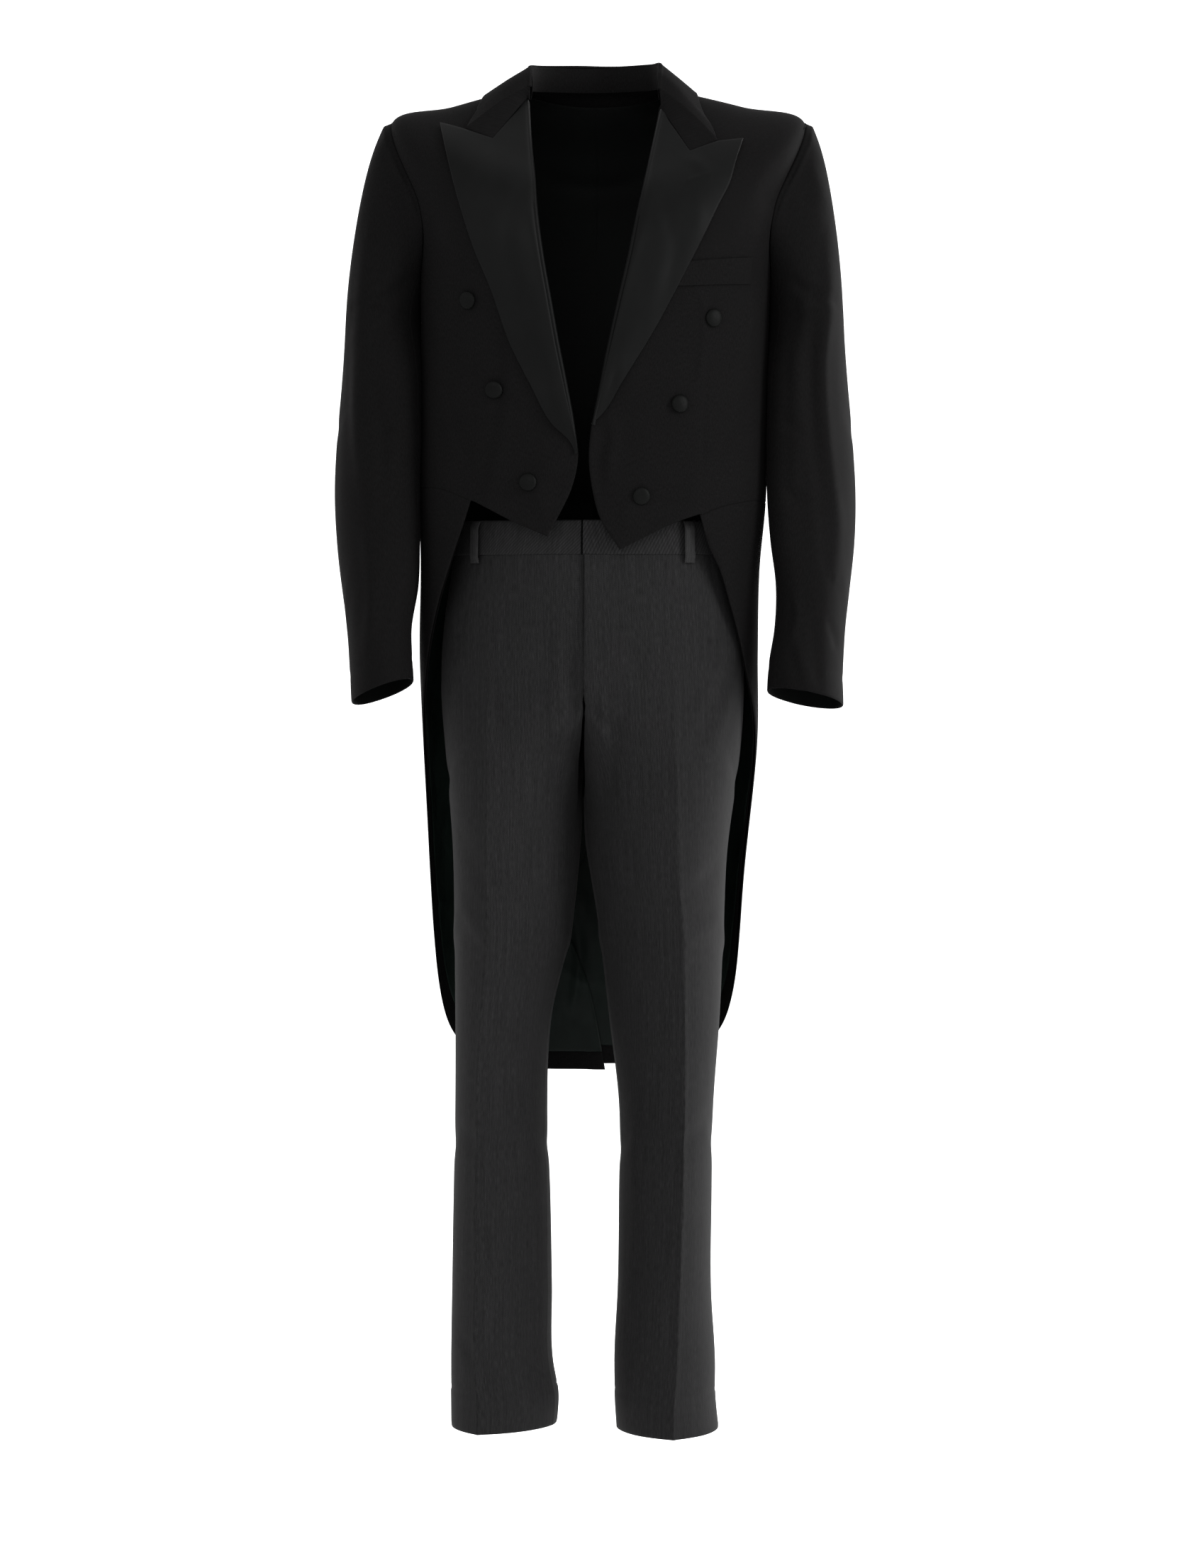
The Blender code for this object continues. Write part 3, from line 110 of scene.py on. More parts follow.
# The lapel's free edge from its foot to the peak, and its top edge from the gorge at the roll line over the notch to the peak: x, z.
LAPEL_EDGE = {
    LEFT: [(-19, -385), (-23, -375), (-46, -352), (-68, -313), (-91, -268), (-112, -210), (-133, -160), (-144, -126), (-162, -54), (-168.5, -24)],
    RIGHT: [(-6, -352), (5, -342), (27, -308), (57, -261), (91, -200), (121, -141), (132, -118), (144, -94), (151, -68), (159, -43)],
}
LAPEL_TOP = {
    LEFT: [(-72, 6), (-92, -18.5), (-111, -43), (-141, -32.5), (-168.5, -24)],
    RIGHT: [(70, -8), (87, -34), (101.5, -57.5), (131.5, -47), (159, -43)],
}
LAPEL_FOOT = {LEFT: (-19, -385), RIGHT: (-6, -354)}
LAPEL_RISE = 5.2  # how far its middle stands off the front
LAPEL_LIE = 3.8  # how far its edges' outer face stands off the front

# The welt of the breast pocket, on the viewer's right, partly under the lapel: x, z of its corners.
WELT = {"top in": (88, -181), "top out": (168, -173), "low in": (84, -206), "low out": (167, -201)}
WELT_THICK = 1.0

# The tail's front edge, as angle and level, from its corner at the waist seam down to the round corner and along the hem: level, angle.
TAIL_EDGE = {
    LEFT: [(5.93, 41.2), (5.65, 44), (5.33, 48), (5.0, 52.5), (4.7, 57), (4.2, 64), (3.7, 72), (3.2, 82), (2.7, 91), (2.0, 96), (1.4, 99), (0.95, 104), (0.62, 112), (0.38, 124), (0.24, 138)],
    RIGHT: [(5.74, 36), (5.3, 41), (5.0, 46.5), (4.6, 52), (4.2, 58), (3.7, 66), (3.2, 76), (2.7, 86), (2.0, 93), (1.4, 98), (0.95, 104), (0.66, 112), (0.42, 124), (0.26, 138)],
}
TAIL_HEM = {LEFT: [(0.24, 138), (0.16, 151), (0.12, 183)], RIGHT: [(0.26, 138), (0.2, 151), (0.16, 189)]}
# The waist seam round the body: angle, level.
WAIST_LINE = {
    LEFT: [(41.2, 5.93), (50, 6.04), (73, 6.10), (86, 6.10), (152, 6.0), (180, 6.0)],
    RIGHT: [(36.0, 5.74), (42, 5.83), (54, 5.91), (86, 5.93), (152, 6.0), (180, 6.0)],
}
# How far past the centre back each tail runs, by level: level, angle. The left one lies inside.
VENT = {LEFT: [(0.0, 188), (0.8, 180.5), (1.4, 172), (2.4, 184), (4.0, 192), (5.2, 192), (5.6, 190)], RIGHT: [(0.0, 200), (4.0, 198), (5.6, 194)]}
VENT_STEP = 5.4  # how far the inside tail lies in from the outside one
VENT_TOP = 5.6
FACING = 20  # the black band round the lining

# ---------------------------------------------------------------- the sleeve, from the biceps down
# height, outer x, inner x (both from the middle), y of its middle, half depth, fall to the back per mm, fall outward per mm
SLEEVE_FORM = {
    LEFT: [
        (-245, 275, 195.2, 3, 74, 0.02, 0.05),
        (-304, 279, 194.2, 2, 71, 0.02, 0.03),
        (-360, 283.5, 195, 1, 68, 0.02, 0.02),
        (-420, 285.5, 195.8, -2, 66, 0.04, 0.02),
        (-480, 282, 194.8, -8, 64, 0.08, 0.03),
        (-530, 276.5, 194.5, -17, 62, 0.12, 0.06),
        (-580, 271, 201, -28, 59, 0.15, 0.16),
        (-612, 268.5, 200, -37, 57.5, 0.16, 0.26),
        (-641, 266, 198.5, -45, 56.5, 0.16, 0.34),
    ],
    RIGHT: [
        (-245, 272, 193.6, 3, 74, 0.02, 0.04),
        (-304, 276, 191.8, 2, 71, 0.02, 0.03),
        (-360, 281, 191.4, 1, 68, 0.02, 0.02),
        (-420, 284.5, 191, -2, 66, 0.04, 0.02),
        (-480, 283.5, 194, -8, 64, 0.08, 0.03),
        (-530, 278.5, 198, -17, 62, 0.12, 0.05),
        (-580, 272, 195, -28, 60, 0.15, 0.10),
        (-616, 269.5, 189, -38, 58.5, 0.16, 0.14),
        (-648, 270, 187, -46, 57.5, 0.16, 0.18),
    ],
}
# Where it hangs against the body its inner side is flatter and leans in to the front: height, added squareness, lean
SLEEVE_SIDE = [(-245, 0.0, 0.0), (-310, 0.7, 0.12), (-360, 0.9, 0.17), (-480, 0.9, 0.17), (-560, 0.4, 0.08), (-640, 0.0, 0.04)]
SLEEVE_FRONT_SEAM = 138  # degrees round from the outside to the front
SLEEVE_BACK_SEAM = [(0.0, -82), (0.5, -70), (1.0, -48)]  # down the sleeve: share, angle
SLEEVE_SPLIT = 0.34  # the share of its rows that the rounded head takes
HEAD_OUT, HEAD_UP = 62, 16  # how strongly the head leaves the armhole, outward and upward

# ---------------------------------------------------------------- the collar
# round from the left end over the back to the right end: share, then x, y, z of the fold and x, y, z of the free edge
COLLAR = [
    # share  fold x, y, z     edge angle, level
    (0.05, -73.2, -38,  17,   54.0, 11.85),
    (0.12, -74.0, -24,  31,   63.0, 12.20),
    (0.18, -74.3, -13,  38,   76.0, 12.42),
    (0.25, -74.0,  -2,  42,   96.0, 12.56),
    (0.38, -58.0,  44,  47,  135.0, 12.52),
    (0.50,   0.0,  72,  49,  180.0, 12.45),
    (0.62,  57.0,  44,  48,  225.0, 12.55),
    (0.75,  73.0,  -2,  44,  264.0, 12.68),
    (0.82,  73.2, -13,  38,  290.0, 12.56),
    (0.88,  72.5, -24,  31,  304.0, 12.30),
    (0.95,  71.0, -38,  14,  313.5, 11.82),
]
COLLAR_TIP = {LEFT: (-141, -31), RIGHT: (131.5, -45)}  # seen from the front
COLLAR_LIE = 3.5  # how far its free edge's outer face stands off the coat
COLLAR_STAND = 27  # height of the stand inside
COLLAR_WALL = 1.8
COLLAR_GAP = 3.0  # between stand and fall
COLLAR_PUFF = (4.0, 3.0, 0.5, 3.0, 4.0)  # how far the fall stands out between fold and edge: at the back, behind the side, at the side, before it, at the end
GORGE_GAP = 1.2  # between the collar's end and the lapel's top edge, seen from the front

# ---------------------------------------------------------------- buttons
BUTTON_RADIUS, BUTTON_HIGH = 9.6, 4.6
CUFF_RADIUS, CUFF_HIGH = 6.8, 3.8
FRONT_BUTTONS = {LEFT: [(-137, -220), (-109, -316), (-72.5, -415)], RIGHT: [(126, -239), (90, -331), (49, -430)]}
CUFF_BUTTONS = [0.905, 0.937, 0.969]  # share down the sleeve
BACK_BUTTON = (5.93, 156)  # level, angle
BUTTON_LIFT = 0.6

# ---------------------------------------------------------------- the trousers
TURN = -4.5  # degrees, seen from above
TROUSER_X = -4  # their middle, across
CREASE_HIGH = 5.0
WAIST_Z, BAND_LOW = -455, -492.5
HIP_RINGS = [
    # height half front back y0 square
    (-455, 151, 103, 104, 2, 2.25),
    (-492, 153, 106, 108, 2, 2.25),
    (-540, 160, 109, 116, 3, 2.3),
    (-590, 166, 110, 123, 3, 2.35),
    (-640, 168, 109, 126, 3, 2.4),
]
FORK_Z, FLY_LOW_Z, SEAT_LOW_Z = -722, -640, -610
LEGS = {
    # height, outer x, inner x, y of the middle, half depth, turn out in degrees
    LEFT: [
        (-1449, -159.5, -39, -4, 79, -20),
        (-1420, -159.5, -37.5, -4, 79, -20),
        (-1380, -159.5, -43.5, -2, 80, -20),
        (-1300, -158.5, -44.5, 2, 83, -19),
        (-1200, -157.5, -46.5, 5, 86, -18),
        (-1100, -156, -50, 6, 89, -16),
        (-1000, -155.5, -46, 6, 94, -13.5),
        (-900, -156.5, -23.5, 7, 99, -15),
        (-800, -159, -15, 8, 103, -17),
        (-722, -166, -14, 9, 106, -15),
    ],
    RIGHT: [
        (-1453, 136.5, 23, -10, 79, 3),
        (-1420, 133.5, 21, -10, 79, 5),
        (-1380, 133.5, 20.5, -8, 80, 7),
        (-1300, 129, 24.5, -5, 83, 9),
        (-1200, 129, 26, -2, 86, 10),
        (-1100, 130.5, 25.5, 0, 89, 11),
        (-1000, 138, 13, 1, 94, 12),
        (-900, 143, 1, 2, 99, 12),
        (-800, 148, -12.5, 3, 103, 11),
        (-722, 160, -13, 4, 106, 8),
    ],
}
BELT_LOOPS = [(RIGHT, 44), (LEFT, 49), (RIGHT, 122), (LEFT, 122), (RIGHT, 179.9)]  # side, angle round the waist
LOOP_WIDE, LOOP_THICK, LOOP_OVER = 11, 1.2, 9


# ---------------------------------------------------------------- smooth lines through tables
def curve(xs, ys):
    """A smooth line through a table's values, as a function."""
    xs, ys = np.array(xs, float), np.array(ys, float)
    slope, wide = np.diff(ys) / np.diff(xs), np.diff(xs)
    m = np.empty(len(xs))
    m[0], m[-1] = slope[0], slope[-1]
    m[1:-1] = (slope[:-1] * wide[1:] + slope[1:] * wide[:-1]) / (wide[1:] + wide[:-1])

    def at(x):
        x = np.clip(np.asarray(x, float), xs[0], xs[-1])
        i = np.clip(np.searchsorted(xs, x, side="right") - 1, 0, len(xs) - 2)
        h = xs[i + 1] - xs[i]
        t = (x - xs[i]) / h
        return (
            (2 * t**3 - 3 * t**2 + 1) * ys[i]
            + (t**3 - 2 * t**2 + t) * h * m[i]
            + (3 * t**2 - 2 * t**3) * ys[i + 1]
            + (t**3 - t**2) * h * m[i + 1]
        )

    return at


def columns(table, first):
    at = [row[0] for row in table]
    return [curve(at, [row[k] for row in table]) for k in range(first, len(table[0]))]


def path(points, n=None):
    """A smooth path through points by their own length, as a function of the share of it."""
    points = np.array(points, float)
    along = np.concatenate([[0], np.cumsum(np.linalg.norm(np.diff(points, axis=0), axis=1))])
    parts = [curve(along / along[-1], points[:, k]) for k in range(points.shape[1])]
    return lambda t: np.stack([f(t) for f in parts], -1)


def patch(low, high, start, end, us, ws):
    """A sheet of parameters between four edges. low and high are functions of u, start and end of w."""
    u, w = us[None, :, None], ws[:, None, None]
    side = (1 - u) * start(ws)[:, None] + u * end(ws)[:, None]
    rise = (1 - w) * low(us)[None] + w * high(us)[None]
    corner = (1 - w) * ((1 - u) * low(us)[:1][None] + u * low(us)[-1:][None]) + w * ((1 - u) * high(us)[:1][None] + u * high(us)[-1:][None])
    return side + rise - corner


C_HALF, C_FRONT, C_BACK, C_Y0, C_X0, C_ZS, C_ZF, C_ZB, C_SQ = columns(COAT_FORM, 2)


def coat_at(side, angle, level):
    n = C_SQ(level)
    s, c = np.sin(angle), np.cos(angle)
    r = (np.abs(s) ** n + np.abs(c) ** n) ** (-1 / n)
    front = c > 0
    x = side * C_HALF(level) * r * s + C_X0(level)
    y = C_Y0(level) - np.where(front, C_FRONT(level), C_BACK(level)) * r * c
    z = C_ZS(level) + np.where(front, C_ZF(level) - C_ZS(level), C_ZB(level) - C_ZS(level)) * c * c
    return np.stack([x, y, z], -1)


def coat(side, degrees, level, out=0.0):
    """Points of the coat's outside, in mm, moved out along its own normal."""
    angle, level = np.broadcast_arrays(np.radians(np.asarray(degrees, float)), np.asarray(level, float))
    e = 1e-4
    da = coat_at(side, angle + e, level) - coat_at(side, angle - e, level)
    dl = coat_at(side, angle, np.minimum(level + e, NECK)) - coat_at(side, angle, level - e)
    n = np.cross(da, dl) * side
    n /= np.linalg.norm(n, axis=-1, keepdims=True)
    return coat_at(side, angle, level) + n * np.broadcast_to(np.asarray(out, float), level.shape)[..., None]


def on_front(side, x, z, low=4.8, high=NECK):
    """Degrees and level of the coat's point that is seen from the front at x, z."""
    x, z = np.broadcast_arrays(np.asarray(x, float), np.asarray(z, float))
    lo, hi = np.full(x.shape, low), np.full(x.shape, high)

    def angle_of(level):
        q = side * (x - C_X0(level)) / C_HALF(level)
        size = np.clip(np.abs(q), 1e-6, 0.999999)
        n = C_SQ(level)
        return np.sign(q) * np.arctan2(1.0, (size ** (-n) - 1) ** (1 / n))

    for _ in range(45):
        mid = (lo + hi) / 2
        a = angle_of(mid)
        under = C_ZS(mid) + (C_ZF(mid) - C_ZS(mid)) * np.cos(a) ** 2 < z
        lo, hi = np.where(under, mid, lo), np.where(under, hi, mid)
    return np.stack([np.degrees(angle_of(lo)), lo], -1)


def waist_level(side, degrees):
    table = WAIST_LINE[side]
    return curve([r[0] for r in table], [r[1] for r in table])(degrees)


def inset(side, al, amount, across):
    """The same angles and levels, moved by mm along the surface: across moves the angle, else the level."""
    a, l = al[..., 0], al[..., 1]
    if across:
        speed = np.linalg.norm(coat(side, a + 0.05, l) - coat(side, a - 0.05, l), axis=-1) / 0.1
        return np.stack([a + amount / speed, l], -1)
    speed = np.linalg.norm(coat(side, a, l + 0.005) - coat(side, a, l - 0.005), axis=-1) / 0.01
    return np.stack([a, l + amount / speed], -1)


# ---------------------------------------------------------------- the armhole and the sleeve
def armhole(side, turn):
    """Degrees and level round the armhole. turn is 0 at the shoulder, a right angle at the front."""
    c, s = np.cos(turn), np.sin(turn)
    wide = np.where(s > 0, ARMHOLE_WIDE_FRONT, ARMHOLE_WIDE_BACK)
    low, high = ARMHOLE_LOW, ARMHOLE_HIGH
    return np.stack([ARMHOLE_ANGLE - wide * s, (low + high) / 2 + (high - low) / 2 * c], -1)


def sleeve_ring(side, z, turn, share=None):
    out_x, in_x, y0, deep, back, outward = [f(-z) for f in SLEEVE[side]]
    cx, half = (out_x + in_x) / 2, (out_x - in_x) / 2
    c, s = np.cos(turn), np.sin(turn)
    near, lean = SLEEVE_NEAR(-z), SLEEVE_LEAN(-z)
    n = np.where(c < 0, 2.15 + near, 2.15)
    r = (np.abs(c) ** n + np.abs(s) ** n) ** (-1 / n)
    dx, dy = half * r * c, -deep * r * s
    return np.stack([side * (cx + dx + lean * dy), y0 + dy, z - back * dy - outward * dx], -1)


def sleeve_at(side, share, turn):
    """Points of the sleeve's outside. share is 0 at the armhole and 1 at the cuff."""
    share, turn = np.broadcast_arrays(np.asarray(share, float), np.asarray(turn, float))
    top = -SLEEVE_FORM[side][0][0]
    cuff = -SLEEVE_FORM[side][-1][0]
    head = share < SLEEVE_SPLIT
    t = np.clip(share / SLEEVE_SPLIT, 0, 1)
    z = -(top + np.clip((share - SLEEVE_SPLIT) / (1 - SLEEVE_SPLIT), 0, 1) * (cuff - top))
    straight = sleeve_ring(side, z, turn)
    al = armhole(side, turn)
    p0 = coat(side, al[..., 0], al[..., 1])
    p1 = sleeve_ring(side, np.full(share.shape, -top * 1.0), turn)
    long = np.linalg.norm(p1 - p0, axis=-1)
    up = np.cos(turn)
    reach = HEAD_OUT * (0.54 + 0.46 * up) * (long / 230).clip(0.35, 1)
    t0 = np.stack([side * reach, np.zeros(share.shape), HEAD_UP * up - 0.45 * long * (1 - up) * 0.5], -1)
    below = sleeve_ring(side, np.full(share.shape, -top - 4.0), turn)
    t1 = (below - p1) / 4.0 * (long * 1.12)[..., None]
    t_ = t[..., None]
    curved = (2 * t_**3 - 3 * t_**2 + 1) * p0 + (t_**3 - 2 * t_**2 + t_) * t0 + (3 * t_**2 - 2 * t_**3) * p1 + (t_**3 - t_**2) * t1
    return np.where(head[..., None], curved, straight)


def sleeve_axis(side, points):
    z = np.minimum(points[..., 2], -245)
    out_x, in_x, y0 = [f(-z) for f in SLEEVE[side][:3]]
    x = side * (out_x + in_x) / 2
    return np.stack([x, y0, points[..., 2]], -1)


# ---------------------------------------------------------------- the panels of the coat
def armhole_part(side, start, end):
    """The armhole between two turns, in degrees, as a function of the share."""
    return lambda t: armhole(side, np.radians(start + (end - start) * np.asarray(t)))


def turn_at(angle, front):
    """The turn, in degrees, at which the lower armhole crosses an angle from the centre front."""
    wide = ARMHOLE_WIDE_FRONT if front else ARMHOLE_WIDE_BACK
    s = (ARMHOLE_ANGLE - angle) / wide
    lower = math.degrees(math.asin(max(-1, min(1, s))))
    return 180 - lower


def chain(*parts):
    """Several paths one after another, each as (function of a share, where it starts, where it ends)."""

    def at(t):
        t = np.asarray(t, float)
        out = None
        for f, a, b in parts:
            value = f(np.clip((t - a) / (b - a), 0, 1))
            out = value if out is None else np.where((t >= a)[..., None], value, out)
        return out

    return at


def front_panel(side, us, ws):
    edge = rolled_edge(side)
    low = path(FRONT_LOW[side])
    inner = lambda t: on_front(side, *np.moveaxis(edge(t), -1, 0))
    bottom_raw = lambda u: on_front(side, *np.moveaxis(low(u), -1, 0))
    seam = curve([r[0] for r in SIDE_SEAM], [r[1] for r in SIDE_SEAM])
    turn0 = turn_at(SIDE_SEAM[-1][1], True)
    hit = armhole(side, np.radians(turn0))
    foot = float(waist_level(side, SIDE_SEAM[1][1]))
    up_seam = lambda t: np.stack([seam(foot + (hit[1] - foot) * t) + (hit[0] - seam(hit[1])) * t, foot + (hit[1] - foot) * t], -1)
    shoulder = lambda t: np.stack([np.full(np.shape(t), 90.0), SHOULDER + (NECK - SHOULDER) * np.asarray(t)], -1)
    outer = chain((up_seam, 0, 0.42), (armhole_part(side, turn0, 0), 0.42, 0.74), (shoulder, 0.74, 1))
    corner = WAIST_LINE[side][0][0]

    def bottom(u):
        al = bottom_raw(u) + np.asarray(u)[:, None] ** 6 * (up_seam(np.array([0.0])) - bottom_raw(np.array([1.0])))
        on_seam = al[:, 0] > corner
        al[on_seam, 1] = waist_level(side, al[on_seam, 0])
        return al

    top_in = inner(np.array([1.0]))[0]
    neck = lambda u: np.stack([top_in[0] + (90 - top_in[0]) * np.asarray(u), top_in[1] + (NECK - top_in[1]) * np.asarray(u)], -1)
    al = patch(bottom, neck, inner, outer, us, ws)
    al[:, -1] = inset(side, al[:, -1], -SEAM / 2, True)
    n = int((ws >= 0.74).sum())
    al[-n:, -1, 0] = inset(side, np.stack([np.full(n, 90.0), al[-n:, -1, 1]], -1), -BENT_SEAM / 2, True)[:, 0]
    al[0] = inset(side, al[0], BENT_SEAM / 2, False)
    points = coat(side, al[..., 0], np.minimum(al[..., 1], NECK))
    return points, al


def side_panel(side, us, ws):
    seam_f = curve([r[0] for r in SIDE_SEAM], [r[1] for r in SIDE_SEAM])
    seam_b = curve([r[0] for r in BACK_SEAM], [r[1] for r in BACK_SEAM])
    foot_f = float(waist_level(side, SIDE_SEAM[1][1]))
    foot_b = WAIST
    turn_f, turn_b = turn_at(SIDE_SEAM[-1][1], True), turn_at(BACK_SEAM[-1][1], False)
    hit_f, hit_b = armhole(side, np.radians(turn_f)), armhole(side, np.radians(turn_b))
    start = lambda t: np.stack([seam_f(foot_f + (hit_f[1] - foot_f) * t) + (hit_f[0] - seam_f(hit_f[1])) * t, foot_f + (hit_f[1] - foot_f) * t], -1)
    end = lambda t: np.stack([seam_b(foot_b + (hit_b[1] - foot_b) * t) + (hit_b[0] - seam_b(hit_b[1])) * t, foot_b + (hit_b[1] - foot_b) * t], -1)
    low_angle = lambda u: start(np.zeros(1))[0, 0] * (1 - u) + end(np.zeros(1))[0, 0] * u
    low = lambda u: np.stack([low_angle(u), waist_level(side, low_angle(u))], -1)
    al = patch(low, armhole_part(side, turn_f, turn_b), start, end, us, ws)
    al[:, 0] = inset(side, al[:, 0], BENT_SEAM / 2, True)
    al[:, -1] = inset(side, al[:, -1], -SEAM / 2, True)
    al[0] = inset(side, al[0], BENT_SEAM / 2, False)
    al[-1] = inset(side, al[-1], -BENT_SEAM, False)
    return coat(side, al[..., 0], al[..., 1]), al


def vent_edge(side, level):
    table = VENT[side]
    f = curve([r[0] for r in table], [r[1] for r in table])
    return np.where(level < VENT_TOP, f(level), 180.0)


def vent_step(side, degrees, level):
    """How far in the inside tail lies, near the centre back below the vent's top."""
    if side == RIGHT:
        return np.zeros(np.shape(level))
    near = np.clip((degrees - 152.5) / 6.5, 0, 1)
    down = np.clip((WAIST - level) / (WAIST - VENT_TOP - 0.03), 0, 1)
    return -VENT_STEP * (near * near * (3 - 2 * near)) * (down * down * (3 - 2 * down))


def hem_level(side, degrees):
    """The level of the tail's lower edge at an angle, past the round corner."""
    table = sorted([(a, l) for l, a in TAIL_EDGE[side][-4:]] + [(a, l) for l, a in TAIL_HEM[side][1:]])
    return curve([a for a, _ in table], [l for _, l in table])(degrees)


def back_panel(side, us, ws):
    seam_b = curve([r[0] for r in BACK_SEAM], [r[1] for r in BACK_SEAM])
    seam_t = curve([r[0] for r in TAIL_SEAM], [r[1] for r in TAIL_SEAM])
    turn_b = turn_at(BACK_SEAM[-1][1], False)
    hit_b = armhole(side, np.radians(turn_b))
    rise = lambda t: np.stack([seam_b(WAIST + (hit_b[1] - WAIST) * t) + (hit_b[0] - seam_b(hit_b[1])) * t, WAIST + (hit_b[1] - WAIST) * t], -1)
    foot = float(hem_level(side, TAIL_SEAM[0][1]))
    tail = lambda t: np.stack([seam_t(foot + (WAIST - foot) * t) + (rise(np.zeros(1))[0, 0] - seam_t(WAIST)) * t**4, foot + (WAIST - foot) * t], -1)
    shoulder = lambda t: np.stack([np.full(np.shape(t), 90.0), SHOULDER + (NECK - SHOULDER) * np.asarray(t)], -1)
    outer = chain((tail, 0, 0.46), (rise, 0.46, 0.68), (armhole_part(side, turn_b, 360), 0.68, 0.86), (shoulder, 0.86, 1))
    cb_level = lambda t: outer(t)[:, 1]
    foot_cb = float(hem_level(side, float(vent_edge(side, 0.15))))

    def centre(t):
        level = np.where(t < 0.46, foot_cb + (WAIST - foot_cb) * t / 0.46, cb_level(t))
        return np.stack([vent_edge(side, level), level], -1)

    low = lambda u: np.stack([outer(np.zeros(1))[0, 0] * (1 - u) + centre(np.zeros(1))[0, 0] * u, hem_level(side, outer(np.zeros(1))[0, 0] * (1 - u) + centre(np.zeros(1))[0, 0] * u)], -1)
    high = lambda u: np.stack([90 + 90 * u, np.full(np.shape(u), NECK)], -1)
    al = patch(low, high, outer, centre, us, ws)
    al[:, 0] = inset(side, al[:, 0], SEAM / 2, True)
    n = int((ws >= 0.86).sum())
    al[-n:, 0, 0] = inset(side, np.stack([np.full(n, 90.0), al[-n:, 0, 1]], -1), BENT_SEAM / 2, True)[:, 0]
    closed_part = al[:, -1, 1] > VENT_TOP
    al[closed_part, -1] = inset(side, al[closed_part, -1], -SEAM / 2, True)
    points = coat(side, al[..., 0], np.minimum(al[..., 1], NECK), vent_step(side, al[..., 0], al[..., 1]))
    return points, al


def skirt_panel(side, us, ws):
    edge = path([(a, l * 26) for l, a in TAIL_EDGE[side]])
    front = lambda t: edge(1 - t) / np.array([1, 26.0])
    seam_t = curve([r[0] for r in TAIL_SEAM], [r[1] for r in TAIL_SEAM])
    corner = TAIL_EDGE[side][-1]
    foot = float(hem_level(side, TAIL_SEAM[0][1]))
    top_b = WAIST
    start = lambda t: np.stack([seam_t(foot + (top_b - foot) * t), foot + (top_b - foot) * t], -1)
    low = lambda u: np.stack([TAIL_SEAM[0][1] * (1 - u) + corner[1] * u, hem_level(side, TAIL_SEAM[0][1] * (1 - u) + corner[1] * u)], -1)
    stop = TAIL_EDGE[side][0][1]
    high = lambda u: np.stack([152 + (stop - 152) * u, waist_level(side, 152 + (stop - 152) * u)], -1)
    al = patch(low, high, start, front, us, ws)
    al[:, 0] = inset(side, al[:, 0], -SEAM / 2, True)
    al[-1] = inset(side, al[-1], -BENT_SEAM / 2, False)
    return coat(side, al[..., 0], al[..., 1]), al


def lifted(side, xz, out):
    """Points that stand off the coat's front by out and are seen from the front at x, z."""
    aim = np.array(xz, float)
    for _ in range(5):
        al = on_front(side, aim[..., 0], aim[..., 1])
        p = coat(side, al[..., 0], al[..., 1], out)
        aim = aim + np.array(xz) - p[..., ::2]
    return p


def lapel_top(side):
    """Its top edge, with the corner at the notch, as a function of the share of its length, and the notch's share."""
    points = np.array(LAPEL_TOP[side], float)
    along = np.concatenate([[0], np.cumsum(np.linalg.norm(np.diff(points, axis=0), axis=1))])
    along /= along[-1]
    return lambda t: np.stack([np.interp(t, along, points[:, k]) for k in (0, 1)], -1), along[2]


def lapel_rise(u, w):
    """How far a lapel stands off the front, across from the roll line to the free edge and up from the foot."""
    return LAPEL_LIE + LAPEL_RISE * np.sin(math.pi * u**0.6) * np.clip(4 * w, 0.2, 1) * (1 - 0.75 * w**4)


# ---------------------------------------------------------------- the trousers' form
H_HALF, H_FRONT, H_BACK, H_Y0, H_SQ = [curve([-r[0] for r in HIP_RINGS], [r[k] for r in HIP_RINGS]) for k in range(1, 6)]
SLEEVE_NEAR, SLEEVE_LEAN = [curve([-r[0] for r in SLEEVE_SIDE], [r[k] for r in SLEEVE_SIDE]) for k in (1, 2)]
LEG = {side: [curve([r[0] for r in LEGS[side]], [r[k] for r in LEGS[side]]) for k in range(1, 6)] for side in (LEFT, RIGHT)}
SLEEVE = {side: [curve([-r[0] for r in SLEEVE_FORM[side]], [r[k] for r in SLEEVE_FORM[side]]) for k in range(1, 7)] for side in (LEFT, RIGHT)}


def turned(p, by=TURN):
    a = math.radians(by)
    x, y = p[..., 0], p[..., 1]
    return np.stack([x * math.cos(a) - y * math.sin(a) + TROUSER_X, x * math.sin(a) + y * math.cos(a), p[..., 2]], -1)


def hip_ring(side, z, turn):
    """The waist and hips. turn is 0 at the centre front and a half turn at the centre back."""
    h = -np.asarray(z, float)
    n = H_SQ(h)
    s, c = np.sin(turn), np.cos(turn)
    r = (np.abs(s) ** n + np.abs(c) ** n) ** (-1 / n)
    deep = np.where(c > 0, H_FRONT(h), H_BACK(h))
    return turned(np.stack([side * H_HALF(h) * r * s, H_Y0(h) - deep * r * c, np.broadcast_to(-h, np.shape(s))], -1))


